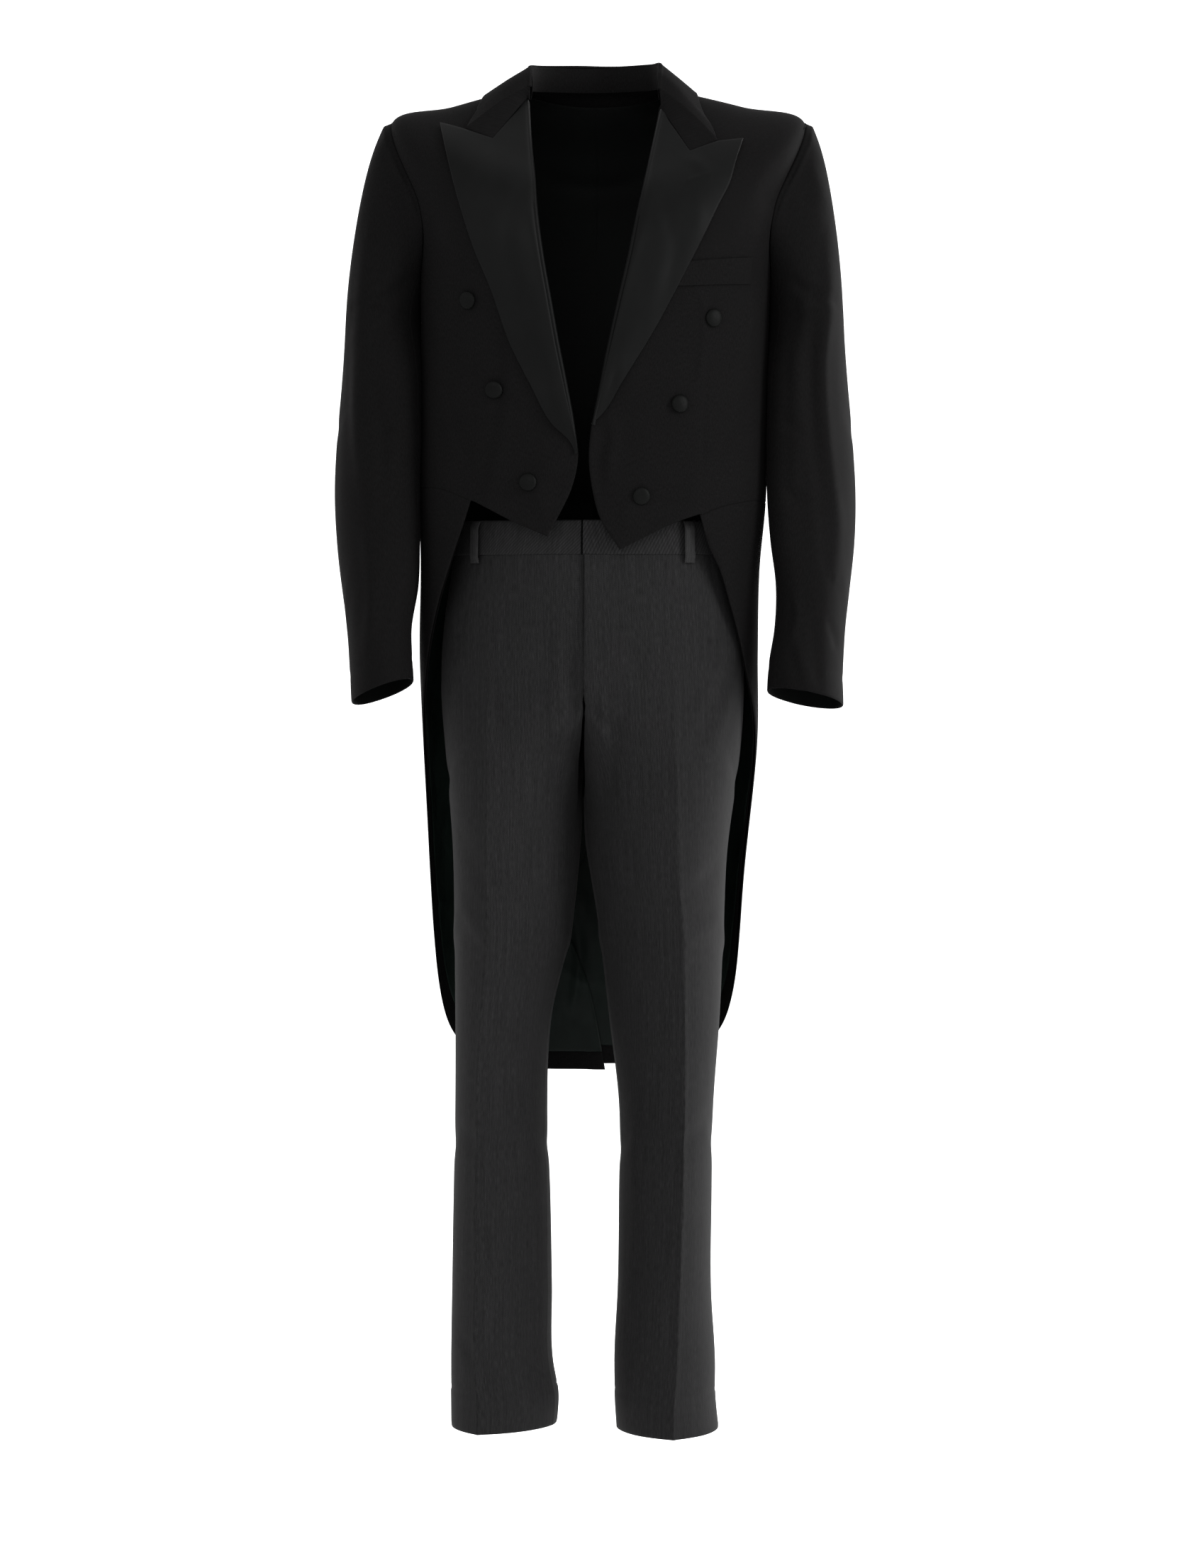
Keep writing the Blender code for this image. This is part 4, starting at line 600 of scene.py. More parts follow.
def leg_ring(side, z, turn, crease=1.0):
    """A trouser leg. turn runs from minus a half turn, at the inner seam, over the back, the outer seam at a quarter and the front to the inner seam. Here 0 is the front, a quarter the outside."""
    out_x, in_x, y0, deep, rho = [f(z) for f in LEG[side]]
    rho = np.radians(rho)
    extent = np.abs(out_x - in_x) / 2
    half = np.sqrt(np.maximum(extent**2 - (deep * np.sin(rho)) ** 2, 400)) / np.cos(rho)
    s, c = np.sin(turn), np.cos(turn)
    n = 2.0
    r = (np.abs(s) ** n + np.abs(c) ** n) ** (-1 / n)
    lx, ly = side * half * r * s, -deep * r * c
    off = np.minimum(np.abs(turn), np.abs(math.pi - np.abs(turn)))
    ridge = CREASE_HIGH * crease * np.clip(1 - off / 0.55, 0, 1) ** 1.6
    ly = ly - np.sign(c) * ridge
    x = (out_x + in_x) / 2 + lx * np.cos(rho) - ly * np.sin(rho)
    y = y0 + lx * np.sin(rho) + ly * np.cos(rho)
    return np.stack([x, y, np.broadcast_to(z, np.shape(s))], -1)


def leg_panel(side, front, rows_leg, rows_fork, rows_hip, degrees):
    """Half a leg, from the outer seam to the inner seam and the centre line."""
    turns, cols = np.radians(degrees), len(degrees)
    gap = SEAM / 2
    rows = []
    low = LEGS[side][0][0]
    for z in np.linspace(low, FORK_Z, rows_leg):
        rows.append(leg_ring(side, np.full(cols, z), turns, min(1, (FORK_Z + 60 - z) / 200)))
    z1 = FLY_LOW_Z if front else SEAT_LOW_Z
    q = np.clip((1 + np.sin(turns)) / 2, 1e-4, 0.99999)
    square = H_SQ(-z1)
    ring_turn = np.arctan2(1.0, (q ** (-square) - 1) ** (1 / square))
    ring_turn = ring_turn if front else math.pi - ring_turn
    hip = hip_ring(side, np.full(cols, z1), ring_turn)
    leg = rows[-1]
    for tau in rows_fork:
        sy, sz, sx = math.sin(tau * math.pi / 2), 1 - math.cos(tau * math.pi / 2), tau * tau * (3 - 2 * tau)
        w = np.array([sx, sy * 0.5 + sx * 0.5, sz])
        rows.append(leg * (1 - w) + hip * w)
    for z in np.linspace(z1, BAND_LOW, rows_hip)[1:]:
        rows.append(hip_ring(side, np.full(cols, z), ring_turn))
    points = np.stack(rows, 0)
    # the two edges are moved in, so that sewn pieces stay apart
    for col, nxt in ((0, 1), (-1, -2)):
        d = points[:, nxt] - points[:, col]
        points[:, col] += d / np.linalg.norm(d, axis=1, keepdims=True) * gap
    points[..., 0][:, -1] = np.where(np.arange(len(rows)) >= rows_leg - 1, points[..., 0][:, -1] + side * 0.25, points[..., 0][:, -1])
    points[-1, :, 2] -= gap
    return points, rows_leg


def leg_axis(side, points):
    z = np.minimum(points[..., 2], FORK_Z)
    out_x, in_x = LEG[side][0](z), LEG[side][1](z)
    high = points[..., 2] > FORK_Z
    x = np.where(high, TROUSER_X + side * 40, (out_x + in_x) / 2)
    return np.stack([x, np.full(x.shape, 3.0), points[..., 2]], -1)


# ---------------------------------------------------------------- rows and columns
def fine(n, width, first=1.3):
    """Shares across a piece of that width in mm, with closer ones at both edges, where the cloth turns into its seam."""
    e = first / width
    return np.concatenate([[0, e, 2.4 * e], np.linspace(2.4 * e, 1 - 2.4 * e, n)[1:-1], [1 - 2.4 * e, 1 - e, 1]])


def soft(x):
    x = np.clip(x, 0, 1)
    return x * x * (3 - 2 * x)


ROLL_IN = 3.6  # the front's edge under the lapel lies in from the roll


def rolled_edge(side):
    """The front's free edge, moved in where the lapel rolls round it."""
    base = path(FRONT_EDGE[side])

    def at(t):
        p = base(t)
        p[..., 0] += side * ROLL_IN * soft((p[..., 1] - LAPEL_FOOT[side][1] - 4) / 22)
        return p

    return at


# ---------------------------------------------------------------- folds
# Each fold lies on a line that is seen from one side: F the front, B the back, L and R the left and right sides, in x, z or y, z.
# group, side it is seen from, half width, height of its ridge (less than 0 is a trough), how much one flank stands over the other, points
BODY_FOLDS = [
    # darts and what the buttons pull, left front
    ("F", 1.5, -0.75, 0.0, [(-127, -218), (-128.7, -234), (-131.3, -310), (-134, -386), (-136, -428)]),
    ("F", 9.0, 0.9, 0.9, [(-88, -262), (-97, -310), (-103, -356), (-113, -405), (-121, -432)]),
    ("F", 7.0, -1.3, 0.0, [(-95, -250), (-103, -310), (-109, -356), (-120, -405), (-128, -432)]),
    ("F", 5.0, -1.3, 0.6, [(-157, -340), (-147, -365), (-139, -388)]),
    ("F", 6.0, 1.0, 0.3, [(-163, -352), (-153, -376), (-146, -398)]),
    ("F", 8.0, -1.1, 0.0, [(-108, -316), (-90, -332), (-62, -346)]),
    ("F", 7.0, -1.0, 0.3, [(-73, -415), (-92, -425), (-118, -428)]),
    ("F", 9.0, 1.2, 0.0, [(-72, -408), (-60, -430), (-53, -455)]),
    ("F", 9.0, 1.2, 0.5, [(-30, -372), (-45, -392), (-70, -404)]),
    ("F", 12.0, -1.5, 0.4, [(-184, -150), (-168, -190), (-160, -236)]),
    ("F", 10.0, 1.3, 0.3, [(-178, -118), (-160, -160), (-150, -206)]),
    # right front
    ("F", 1.5, -0.75, 0.0, [(121, -232), (120, -242), (118, -325), (114, -443)]),
    ("F", 6.0, -1.3, 0.7, [(184, -348), (160, -360), (140, -376), (128, -392)]),
    ("F", 7.0, 1.1, 0.0, [(186, -366), (164, -378), (142, -396)]),
    ("F", 7.0, -1.2, 0.5, [(5, -350), (8, -363), (3, -386), (3, -417)]),
    ("F", 7.0, 1.4, 0.0, [(14, -346), (18, -368), (15, -392), (12, -420)]),
    ("F", 7.0, -1.0, 0.3, [(49, -430), (72, -438), (100, -440)]),
    ("F", 9.0, 1.1, 0.0, [(48, -424), (34, -446), (28, -470)]),
    ("F", 9.0, -1.1, 0.3, [(90, -331), (66, -346), (40, -352)]),
    ("F", 3.0, 1.3, 0.6, [(168, -208), (167.5, -234), (162, -265), (145, -290)]),
    ("F", 4.5, -1.1, 0.0, [(162, -208), (161, -234), (154, -262), (138, -284)]),
    ("F", 4.0, 1.0, 0.5, [(106, -210), (113, -222), (116, -257), (110, -303)]),
    ("F", 12.0, -1.5, 0.4, [(186, -146), (176, -190), (170, -236)]),
    ("F", 10.0, 1.2, 0.3, [(182, -112), (170, -160)]),
    # the shoulders and the upper chest
    ("F", 9.0, -0.9, 0.3, [(-196, -60), (-182, -95), (-172, -128)]),
    ("F", 9.0, -0.9, 0.3, [(197, -70), (184, -100), (175, -128)]),
    # the tails' fronts
    ("F", 8.0, 1.2, 0.5, [(-141, -452), (-150, -520), (-158, -600)]),
    ("F", 9.0, -1.2, 0.4, [(148, -460), (156, -530), (166, -620)]),
    # the back, where the photo doesn't reach
    ("B", 14.0, -1.8, 0.4, [(-150, -150), (-128, -215), (-118, -290)]),
    ("B", 14.0, -1.8, 0.4, [(150, -148), (131, -220), (117, -284)]),
    ("B", 10.0, 1.2, 0.0, [(-70, -60), (-30, -74), (20, -76), (66, -62)]),
    ("B", 12.0, -1.4, 0.3, [(-118, -380), (-60, -395), (-12, -404)]),
    ("B", 11.0, -1.2, 0.4, [(122, -372), (70, -386), (24, -392)]),
    ("B", 15.0, 2.0, 0.5, [(-52, -560), (-60, -760), (-66, -1000)]),
    ("B", 17.0, -1.9, 0.5, [(48, -520), (55, -720), (60, -1040)]),
    ("B", 12.0, 1.5, 0.5, [(96, -640), (104, -850), (102, -1060)]),
    ("B", 13.0, -1.6, 0.4, [(-108, -590), (-116, -800), (-110, -1050)]),
    ("B", 1.5, -0.6, 0.0, [(0, 0), (0, -420)]),
    ("L", 14.0, 1.6, 0.4, [(20, -240), (34, -330), (24, -420)]),
    ("L", 14.0, -1.7, 0.4, [(46, -470), (60, -640), (66, -860)]),
    ("L", 12.0, 1.5, 0.4, [(90, -500), (98, -700), (92, -980)]),
    ("R", 14.0, -1.5, 0.4, [(16, -250), (30, -330), (22, -420)]),
    ("R", 15.0, 1.7, 0.4, [(50, -480), (66, -660), (70, -900)]),
    ("R", 12.0, -1.5, 0.4, [(92, -520), (102, -740), (96, -1000)]),
]
LAPEL_FOLDS = [
    ("F", 6.0, 0.8, 0.4, [(94, -67), (107, -72), (118, -82), (141, -90)]),
    ("F", 10.0, -0.9, 0.3, [(-80, -90), (-96, -150), (-90, -220)]),
    ("F", 12.0, 0.9, 0.2, [(-120, -70), (-128, -120), (-116, -170)]),
    ("F", 9.0, -0.9, 0.2, [(70, -110), (84, -165), (70, -228)]),
    ("F", 10.0, 0.8, 0.2, [(104, -96), (108, -140), (96, -180)]),
    ("F", 6.0, -1.1, 0.3, [(-38, -352), (-48, -326), (-52, -296)]),
    ("F", 5.0, -1.0, 0.3, [(9, -334), (20, -304), (24, -280)]),
]
SLEEVE_FOLDS = {
    LEFT: [
        ("F", 8.0, -2.4, 0.9, [(-205, -196), (-232, -214), (-262, -222)]),
        ("F", 9.0, 1.8, 0.5, [(-206, -222), (-238, -244), (-266, -256)]),
        ("F", 9.0, 2.0, 1.0, [(-250, -150), (-256, -230), (-262, -330), (-258, -420)]),
        ("F", 8.0, -1.8, 0.7, [(-236, -240), (-238, -320), (-232, -400), (-240, -470)]),
        ("F", 8.0, -2.1, 0.7, [(-204, -330), (-226, -352), (-250, -366)]),
        ("F", 9.0, 1.7, 0.5, [(-203, -372), (-228, -392), (-252, -398)]),
        ("F", 7.0, -1.5, 0.5, [(-206, -430), (-224, -440), (-244, -452)]),
        ("F", 8.0, 1.6, 0.8, [(-250, -470), (-244, -540), (-250, -600)]),
        ("F", 6.0, -1.4, 0.5, [(-214, -560), (-222, -590), (-220, -622)]),
        ("F", 5.0, -1.2, 0.4, [(-205, -608), (-198, -594), (-203, -580)]),
        ("L", 10.0, -2.0, 0.6, [(-30, -330), (10, -356), (48, -352)]),
        ("L", 11.0, 1.9, 0.5, [(-24, -250), (4, -300), (8, -380), (-6, -470)]),
        ("L", 9.0, -1.7, 0.5, [(40, -270), (38, -340), (20, -420)]),
        ("L", 9.0, 1.5, 0.5, [(-52, -500), (-36, -560), (-44, -620)]),
        ("L", 8.0, -1.4, 0.4, [(0, -470), (-10, -530), (-12, -590)]),
        ("B", 10.0, -2.2, 0.6, [(-206, -300), (-232, -330), (-262, -338)]),
        ("B", 10.0, 1.8, 0.5, [(-208, -350), (-236, -372), (-268, -380)]),
        ("B", 9.0, -1.6, 0.5, [(-206, -410), (-236, -424), (-262, -440)]),
    ],
    RIGHT: [
        ("F", 7.0, 1.5, 0.6, [(224, -44), (232, -72), (244, -104)]),
        ("F", 6.0, -1.2, 0.4, [(214, -66), (220, -92), (230, -118)]),
        ("F", 8.0, -2.2, 0.9, [(206, -196), (232, -212), (262, -220)]),
        ("F", 7.0, 1.9, 0.9, [(250, -150), (250, -222), (243, -284), (248, -361), (254, -404), (262, -469), (258, -511)]),
        ("F", 7.0, -1.7, 0.6, [(236, -190), (231, -284), (235, -361), (243, -430), (246, -500)]),
        ("F", 8.0, 1.4, 0.6, [(213, -260), (216, -340), (214, -430)]),
        ("F", 7.0, -1.4, 0.5, [(196, -340), (212, -356), (232, -362)]),
        ("F", 7.0, -1.5, 0.5, [(200, -420), (222, -438), (246, -444)]),
        ("F", 5.0, -1.4, 0.6, [(205, -538), (208, -556), (206, -572)]),
        ("F", 5.0, 1.2, 0.5, [(213, -536), (216, -560), (212, -580)]),
        ("F", 6.0, 1.6, 0.9, [(212, -584), (220, -606), (226, -634)]),
        ("F", 6.0, -1.3, 0.5, [(232, -560), (236, -598), (240, -634)]),
        ("F", 4.5, -1.2, 0.4, [(252, -566), (258, -580), (262, -596)]),
        ("R", 10.0, -2.0, 0.6, [(-30, -334), (10, -360), (50, -350)]),
        ("R", 11.0, 1.9, 0.5, [(-26, -250), (6, -300), (4, -390), (-8, -480)]),
        ("R", 9.0, -1.7, 0.5, [(42, -260), (36, -350), (24, -430)]),
        ("R", 9.0, 1.4, 0.5, [(-50, -510), (-38, -570), (-48, -626)]),
        ("B", 10.0, -2.1, 0.6, [(206, -306), (234, -332), (264, -344)]),
        ("B", 10.0, 1.8, 0.5, [(208, -356), (238, -378), (268, -384)]),
        ("B", 9.0, -1.6, 0.5, [(208, -420), (236, -430), (262, -446)]),
    ],
}
LEG_FOLDS = [
    # left leg, front
    ("F", 8.0, -2.2, 0.8, [(-27, -580), (-28, -627), (-26, -680), (-22, -715)]),
    ("F", 7.0, 1.4, 0.5, [(-42, -590), (-44, -650), (-40, -706)]),
    ("F", 7.0, -2.0, 0.8, [(-14, -640), (-26, -656), (-44, -668)]),
    ("F", 8.0, -1.8, 0.7, [(-16, -672), (-36, -700), (-62, -716)]),
    ("F", 9.0, 2.0, 0.4, [(-160, -536), (-165, -556), (-161, -574)]),
    ("F", 9.0, -1.5, 0.5, [(-148, -590), (-120, -640), (-96, -720)]),
    ("F", 11.0, -1.6, 0.5, [(-148, -800), (-116, -852), (-70, -878)]),
    ("F", 10.0, 1.5, 0.4, [(-152, -862), (-120, -908), (-84, -930)]),
    ("F", 8.0, -1.2, 0.4, [(-62, -820), (-84, -846), (-116, -856)]),
    ("F", 5.0, -0.9, 0.4, [(-118, -992), (-110, -1000), (-98, -1004)]),
    ("F", 12.0, -1.7, 0.5, [(-150, -1120), (-118, -1140), (-72, -1150)]),
    ("F", 11.0, 1.5, 0.4, [(-64, -1180), (-100, -1204), (-146, -1212)]),
    ("F", 14.0, 1.8, 0.3, [(-60, -1000), (-66, -1120), (-58, -1240)]),
    # right leg, front
    ("F", 7.0, -1.8, 0.7, [(-8, -650), (4, -672), (24, -690), (52, -700)]),
    ("F", 8.0, -1.8, 0.6, [(25, -655), (20, -685), (15, -716), (10, -760)]),
    ("F", 8.0, -1.3, 0.5, [(33, -597), (43, -615), (45, -640)]),
    ("F", 8.0, 1.6, 0.5, [(4, -650), (2, -690), (-4, -740)]),
    ("F", 9.0, -1.6, 0.5, [(150, -600), (128, -650), (104, -704)]),
    ("F", 8.0, 1.5, 0.5, [(158, -560), (150, -620), (132, -690)]),
    ("F", 11.0, -1.7, 0.5, [(144, -820), (110, -850), (60, -866)]),
    ("F", 5.0, -1.1, 0.6, [(11, -850), (28, -856), (50, -864)]),
    ("F", 10.0, 1.5, 0.4, [(140, -880), (104, -906), (66, -916)]),
    ("F", 11.0, -1.5, 0.5, [(128, -1100), (96, -1130), (52, -1142)]),
    ("F", 10.0, 1.3, 0.4, [(52, -1190), (84, -1206), (122, -1204)]),
    ("F", 13.0, 1.6, 0.3, [(46, -1000), (40, -1120), (46, -1240)]),
    # hems settle
    ("F", 9.0, -1.2, 0.4, [(-150, -1340), (-128, -1376), (-120, -1410)]),
    ("F", 9.0, -1.2, 0.4, [(34, -1330), (48, -1372), (50, -1412)]),
    # backs and sides, where the photo doesn't reach
    ("B", 12.0, -2.4, 0.5, [(-130, -735), (-90, -762), (-40, -770)]),
    ("B", 12.0, 2.0, 0.5, [(-136, -780), (-96, -806), (-48, -812)]),
    ("B", 12.0, -2.4, 0.5, [(130, -740), (86, -764), (30, -772)]),
    ("B", 12.0, 2.0, 0.5, [(128, -786), (88, -810), (38, -816)]),
    ("B", 12.0, -1.9, 0.5, [(-140, -950), (-100, -972), (-60, -966)]),
    ("B", 12.0, 1.6, 0.4, [(-142, -1000), (-104, -1018), (-64, -1010)]),
    ("B", 12.0, -1.9, 0.5, [(124, -944), (84, -968), (40, -960)]),
    ("B", 12.0, 1.6, 0.4, [(122, -996), (86, -1014), (44, -1008)]),
    ("B", 14.0, -1.5, 0.4, [(-140, -1250), (-100, -1290), (-60, -1300)]),
    ("B", 14.0, -1.5, 0.4, [(122, -1240), (86, -1280), (44, -1290)]),
    ("L", 12.0, -1.8, 0.5, [(-60, -700), (-10, -740), (46, -744)]),
    ("L", 12.0, 1.5, 0.4, [(-56, -880), (0, -916), (50, -910)]),
    ("L", 13.0, -1.5, 0.4, [(-50, -1120), (0, -1150), (50, -1144)]),
    ("R", 12.0, -1.8, 0.5, [(-62, -706), (-12, -742), (44, -750)]),
    ("R", 12.0, 1.5, 0.4, [(-54, -890), (2, -920), (48, -906)]),
    ("R", 13.0, -1.5, 0.4, [(-50, -1110), (0, -1146), (50, -1140)]),
]
LINING_FOLDS = [
    # seen from the front, on the tails' inside between the legs and beside them
    ("F", 5.0, 1.6, 0.6, [(-30, -880), (-20, -940), (-28, -1010)]),
    ("F", 6.0, -1.6, 0.6, [(6, -900), (12, -970), (4, -1040)]),
    ("F", 4.0, 1.4, 0.6, [(-36, -960), (-10, -975), (18, -968)]),
    ("F", 4.5, -1.3, 0.5, [(-34, -1010), (-4, -1022), (22, -1012)]),
    ("F", 5.0, 1.5, 0.6, [(-172, -760), (-180, -800), (-176, -850)]),
    ("F", 5.0, -1.5, 0.6, [(-168, -820), (-182, -850), (-178, -900)]),
    ("F", 4.0, 1.3, 0.5, [(-184, -870), (-166, -884), (-150, -880)]),
]


# how much deeper each group of folds is than its table says
FOLD_GAIN = [(BODY_FOLDS, 1.35), (LAPEL_FOLDS, 1.1), (SLEEVE_FOLDS[LEFT], 1.4), (SLEEVE_FOLDS[RIGHT], 1.5), (LEG_FOLDS, 1.3), (LINING_FOLDS, 1.4)]


def gain_of_view(folds, view):
    """The folds that lie on an outline stay low."""
    if folds is SLEEVE_FOLDS[LEFT] or folds is SLEEVE_FOLDS[RIGHT]:
        return {"F": 1, "B": 0.5, "L": 0.25, "R": 0.25}[view]
    return 0.7 if view in "LR" else 1


def fold_height(folds, p, n):
    """How far each point moves out along its normal, for the folds that it lies on. p are points on the form in mm, n their normals."""
    out = np.zeros(p.shape[:-1])
    gain = next((g for table, g in FOLD_GAIN if table is folds), 1.0)
    face = {"F": -n[..., 1], "B": n[..., 1], "L": -n[..., 0], "R": n[..., 0]}
    for view, wide, high, skew, points in folds:
        seen = np.clip(face[view] * 2.2, 0, 1)
        a = p[..., 0] if view in "FB" else p[..., 1]
        b = p[..., 2]
        pts = np.array(points, float)
        reach = 3.2 * wide
        near = (seen > 0) & (a > pts[:, 0].min() - reach) & (a < pts[:, 0].max() + reach) & (b > pts[:, 1].min() - reach) & (b < pts[:, 1].max() + reach)
        if not near.any():
            continue
        q = np.stack([a[near], b[near]], -1)
        smooth_line = path(pts)(np.linspace(0, 1, 4 * len(pts)))
        seg = np.diff(smooth_line, axis=0)
        long = np.linalg.norm(seg, axis=1)
        along0 = np.concatenate([[0], np.cumsum(long)])
        best = np.full(len(q), 1e9)
        sign, share = np.zeros(len(q)), np.zeros(len(q))
        for k in range(len(seg)):
            v = q - smooth_line[k]
            t = np.clip((v @ seg[k]) / max(long[k] ** 2, 1e-9), 0, 1)
            d = v - t[:, None] * seg[k]
            dist = np.linalg.norm(d, axis=1)
            closer = dist < best
            best = np.where(closer, dist, best)
            cross = seg[k][0] * v[:, 1] - seg[k][1] * v[:, 0]
            sign = np.where(closer, np.sign(cross), sign)
            share = np.where(closer, (along0[k] + t * long[k]) / along0[-1], share)
        s = best / wide
        ends = np.sin(math.pi * np.clip(0.08 + 0.84 * share, 0, 1)) ** 0.8
        varied = 1 + 0.22 * np.sin(share * 9.0 + pts[0, 0])
        bump = high * np.exp(-s * s) + skew * high * 0.9 * (sign * s) * np.exp(-s * s * 0.7)
        out[near] += bump * ends * varied * seen[near] * (gain if wide > 2 else 1) * (gain_of_view(folds, view))
    return out


def drift(p, seed, wave, high, upright=0.35):
    """Slow, uneven swells of the cloth: high in mm, wave in mm. upright under 1 makes them run up and down."""
    rng = np.random.default_rng(seed)
    out = np.zeros(p.shape[:-1])
    for k in range(7):
        d = rng.normal(size=3)
        d[2] *= upright
        d /= np.linalg.norm(d * [1, 1, 1 / max(upright, 0.3)])
        w = wave * rng.uniform(0.6, 1.6)
        out += np.sin((p @ d) * 2 * math.pi / w + rng.uniform(0, 6.28)) * w / wave
    return out * high / 2.6


# ---------------------------------------------------------------- cloth as a thin shell
def spine(points, x=0.0, y=0.0):
    """The garment's middle at the height of each point."""
    return np.stack([np.full(points.shape[:-1], x), np.full(points.shape[:-1], y), points[..., 2]], -1)


def grid_normals(p, axis):
    """The normals of a grid of points, pointing away from the garment's inside."""
    du, dw = np.gradient(p, axis=1), np.gradient(p, axis=0)
    n = np.cross(du, dw)
    n /= np.maximum(np.linalg.norm(n, axis=-1, keepdims=True), 1e-9)
    if (n * (p - axis)).sum() < 0:
        n = -n
    return n


def cloth_size(p):
    """Width and length of the cut in metres, and its area, along the form's own rows and columns."""
    across = np.linalg.norm(np.diff(p, axis=1), axis=-1).sum(axis=1)
    down = np.linalg.norm(np.diff(p, axis=0), axis=-1).sum(axis=0)
    d1, d2 = p[1:, 1:] - p[:-1, :-1], p[1:, :-1] - p[:-1, 1:]
    area = np.linalg.norm(np.cross(d1, d2), axis=-1).sum() / 2
    return across.max() / 1000, down.max() / 1000, area / 1e6


SIZES = {}


def cloth(name, p, axis, wall, mats, nodes, folds=(), swell=(1, 120, 0.5), keep=None, low_edges=(1, 1, 1, 1), under=(0.35, 0.35, 0.35, 0.35), n=None, inside=None, extra=None, floor=None):
    """A shell whose outside is the grid p, in mm, with its folds, a rounded edge all round and its wall on the inside. mats is (outside, inside)."""
    form = p.copy()
    if n is None:
        n = grid_normals(p, axis)
    high = fold_height(folds, p, n) + drift(p, *swell)
    if extra is not None:
        high = high + extra(p, n)
    if keep is not None:
        high = high * keep
    if floor is not None:
        # no trough reaches what lies under this cloth
        high = np.where(high < floor, floor + (high - floor) * 0.1, high)
    p = p + n * high[..., None]
    n2 = grid_normals(p, axis) if inside is None else n
    # each edge turns into its seam
    lower = np.zeros(p.shape[:-1])
    turn = 0.34 * wall
    for on, sel in zip(low_edges, ((0, slice(None)), (-1, slice(None)), (slice(None), 0), (slice(None), -1))):
        if on:
            lower[sel] = np.maximum(lower[sel], turn * on)
    outer = p - n2 * lower[..., None]
    inner = p - n2 * wall
    inner = inner + n2 * (lower * 0.6)[..., None]
    for (here_i, next_i), on in zip((((0, slice(None)), (1, slice(None))), ((-1, slice(None)), (-2, slice(None))), ((slice(None), 0), (slice(None), 1)), ((slice(None), -1), (slice(None), -2))), under):
        d = p[here_i] - p[next_i]
        inner[here_i] += d / np.maximum(np.linalg.norm(d, axis=-1, keepdims=True), 1e-6) * on
    rows, cols = p.shape[:2]
    index = np.arange(rows * cols).reshape(rows, cols)
    quads = np.stack([index[:-1, :-1], index[:-1, 1:], index[1:, 1:], index[1:, :-1]], -1).reshape(-1, 4)
    flat = outer.reshape(-1, 3)
    normal = np.cross(flat[quads[:, 2]] - flat[quads[:, 0]], flat[quads[:, 3]] - flat[quads[:, 1]])
    if (normal * n2.reshape(-1, 3)[quads[:, 0]]).sum() < 0:
        quads = quads[:, ::-1]
    count = rows * cols
    ring = np.concatenate([index[0, :-1], index[:-1, -1], index[-1, :0:-1], index[:0:-1, 0]])
    here, nxt = ring, np.roll(ring, -1)
    rim = np.stack([here, nxt, nxt + count, here + count], -1)
    # the rim's faces point away from the sheet
    middle = flat.mean(axis=0)
    both = np.concatenate([outer.reshape(-1, 3), inner.reshape(-1, 3)])
    rim_flip = quads_match(quads, here[0], nxt[0])
    if rim_flip:
        rim = rim[:, ::-1]
    faces = np.concatenate([quads, quads[:, ::-1] + count, rim])
    kinds = np.concatenate([np.zeros(len(quads)), np.ones(len(quads)), np.zeros(len(rim))]).astype(np.int32)
    # the cloth's own directions, in metres
    mid = cols // 2
    across = np.concatenate([np.zeros((rows, 1)), np.cumsum(np.linalg.norm(np.diff(form, axis=1), axis=-1), axis=1)], 1)
    across -= across[:, mid : mid + 1]
    down = np.concatenate([np.zeros((1, cols)), np.cumsum(np.linalg.norm(np.diff(form, axis=0), axis=-1), axis=0)], 0)
    uv = np.stack([across, down], -1).reshape(-1, 2) * MM
    ob = mesh_object(name, both * MM, faces, kinds, np.concatenate([uv, uv]), mats)
    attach(ob, "root")
    if nodes:
        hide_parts(*nodes)
    w, l, area = cloth_size(form)
    SIZES[name] = (round(w, 3), round(l, 3), round(area, 4))
    return ob


def quads_match(quads, a, b):
    """Whether some face already runs from a to b, so that a new face on that edge has to run from b to a."""
    for k in range(4):
        if ((quads[:, k] == a) & (quads[:, (k + 1) % 4] == b)).any():
            return True
    return False


def mesh_object(name, points, faces, kinds, uv, mats, sharp=55):
    mesh = bpy.data.meshes.new(name)
    mesh.vertices.add(len(points))
    mesh.vertices.foreach_set("co", np.asarray(points, np.float32).ravel())
    mesh.loops.add(faces.size)
    mesh.loops.foreach_set("vertex_index", faces.astype(np.int32).ravel())
    mesh.polygons.add(len(faces))
    mesh.polygons.foreach_set("loop_start", np.arange(0, faces.size, faces.shape[1], dtype=np.int32))
    mesh.polygons.foreach_set("material_index", kinds)
    mesh.update(calc_edges=True)
    layer = mesh.uv_layers.new(name="cloth")
    layer.data.foreach_set("uv", uv[faces.ravel()].astype(np.float32).ravel())
    mesh.shade_smooth()
    mesh.set_sharp_from_angle(angle=math.radians(sharp))
    mesh.validate()
    ob = bpy.data.objects.new(name, mesh)
    for m in mats:
        mesh.materials.append(m)
    bpy.context.scene.collection.objects.link(ob)
    return ob


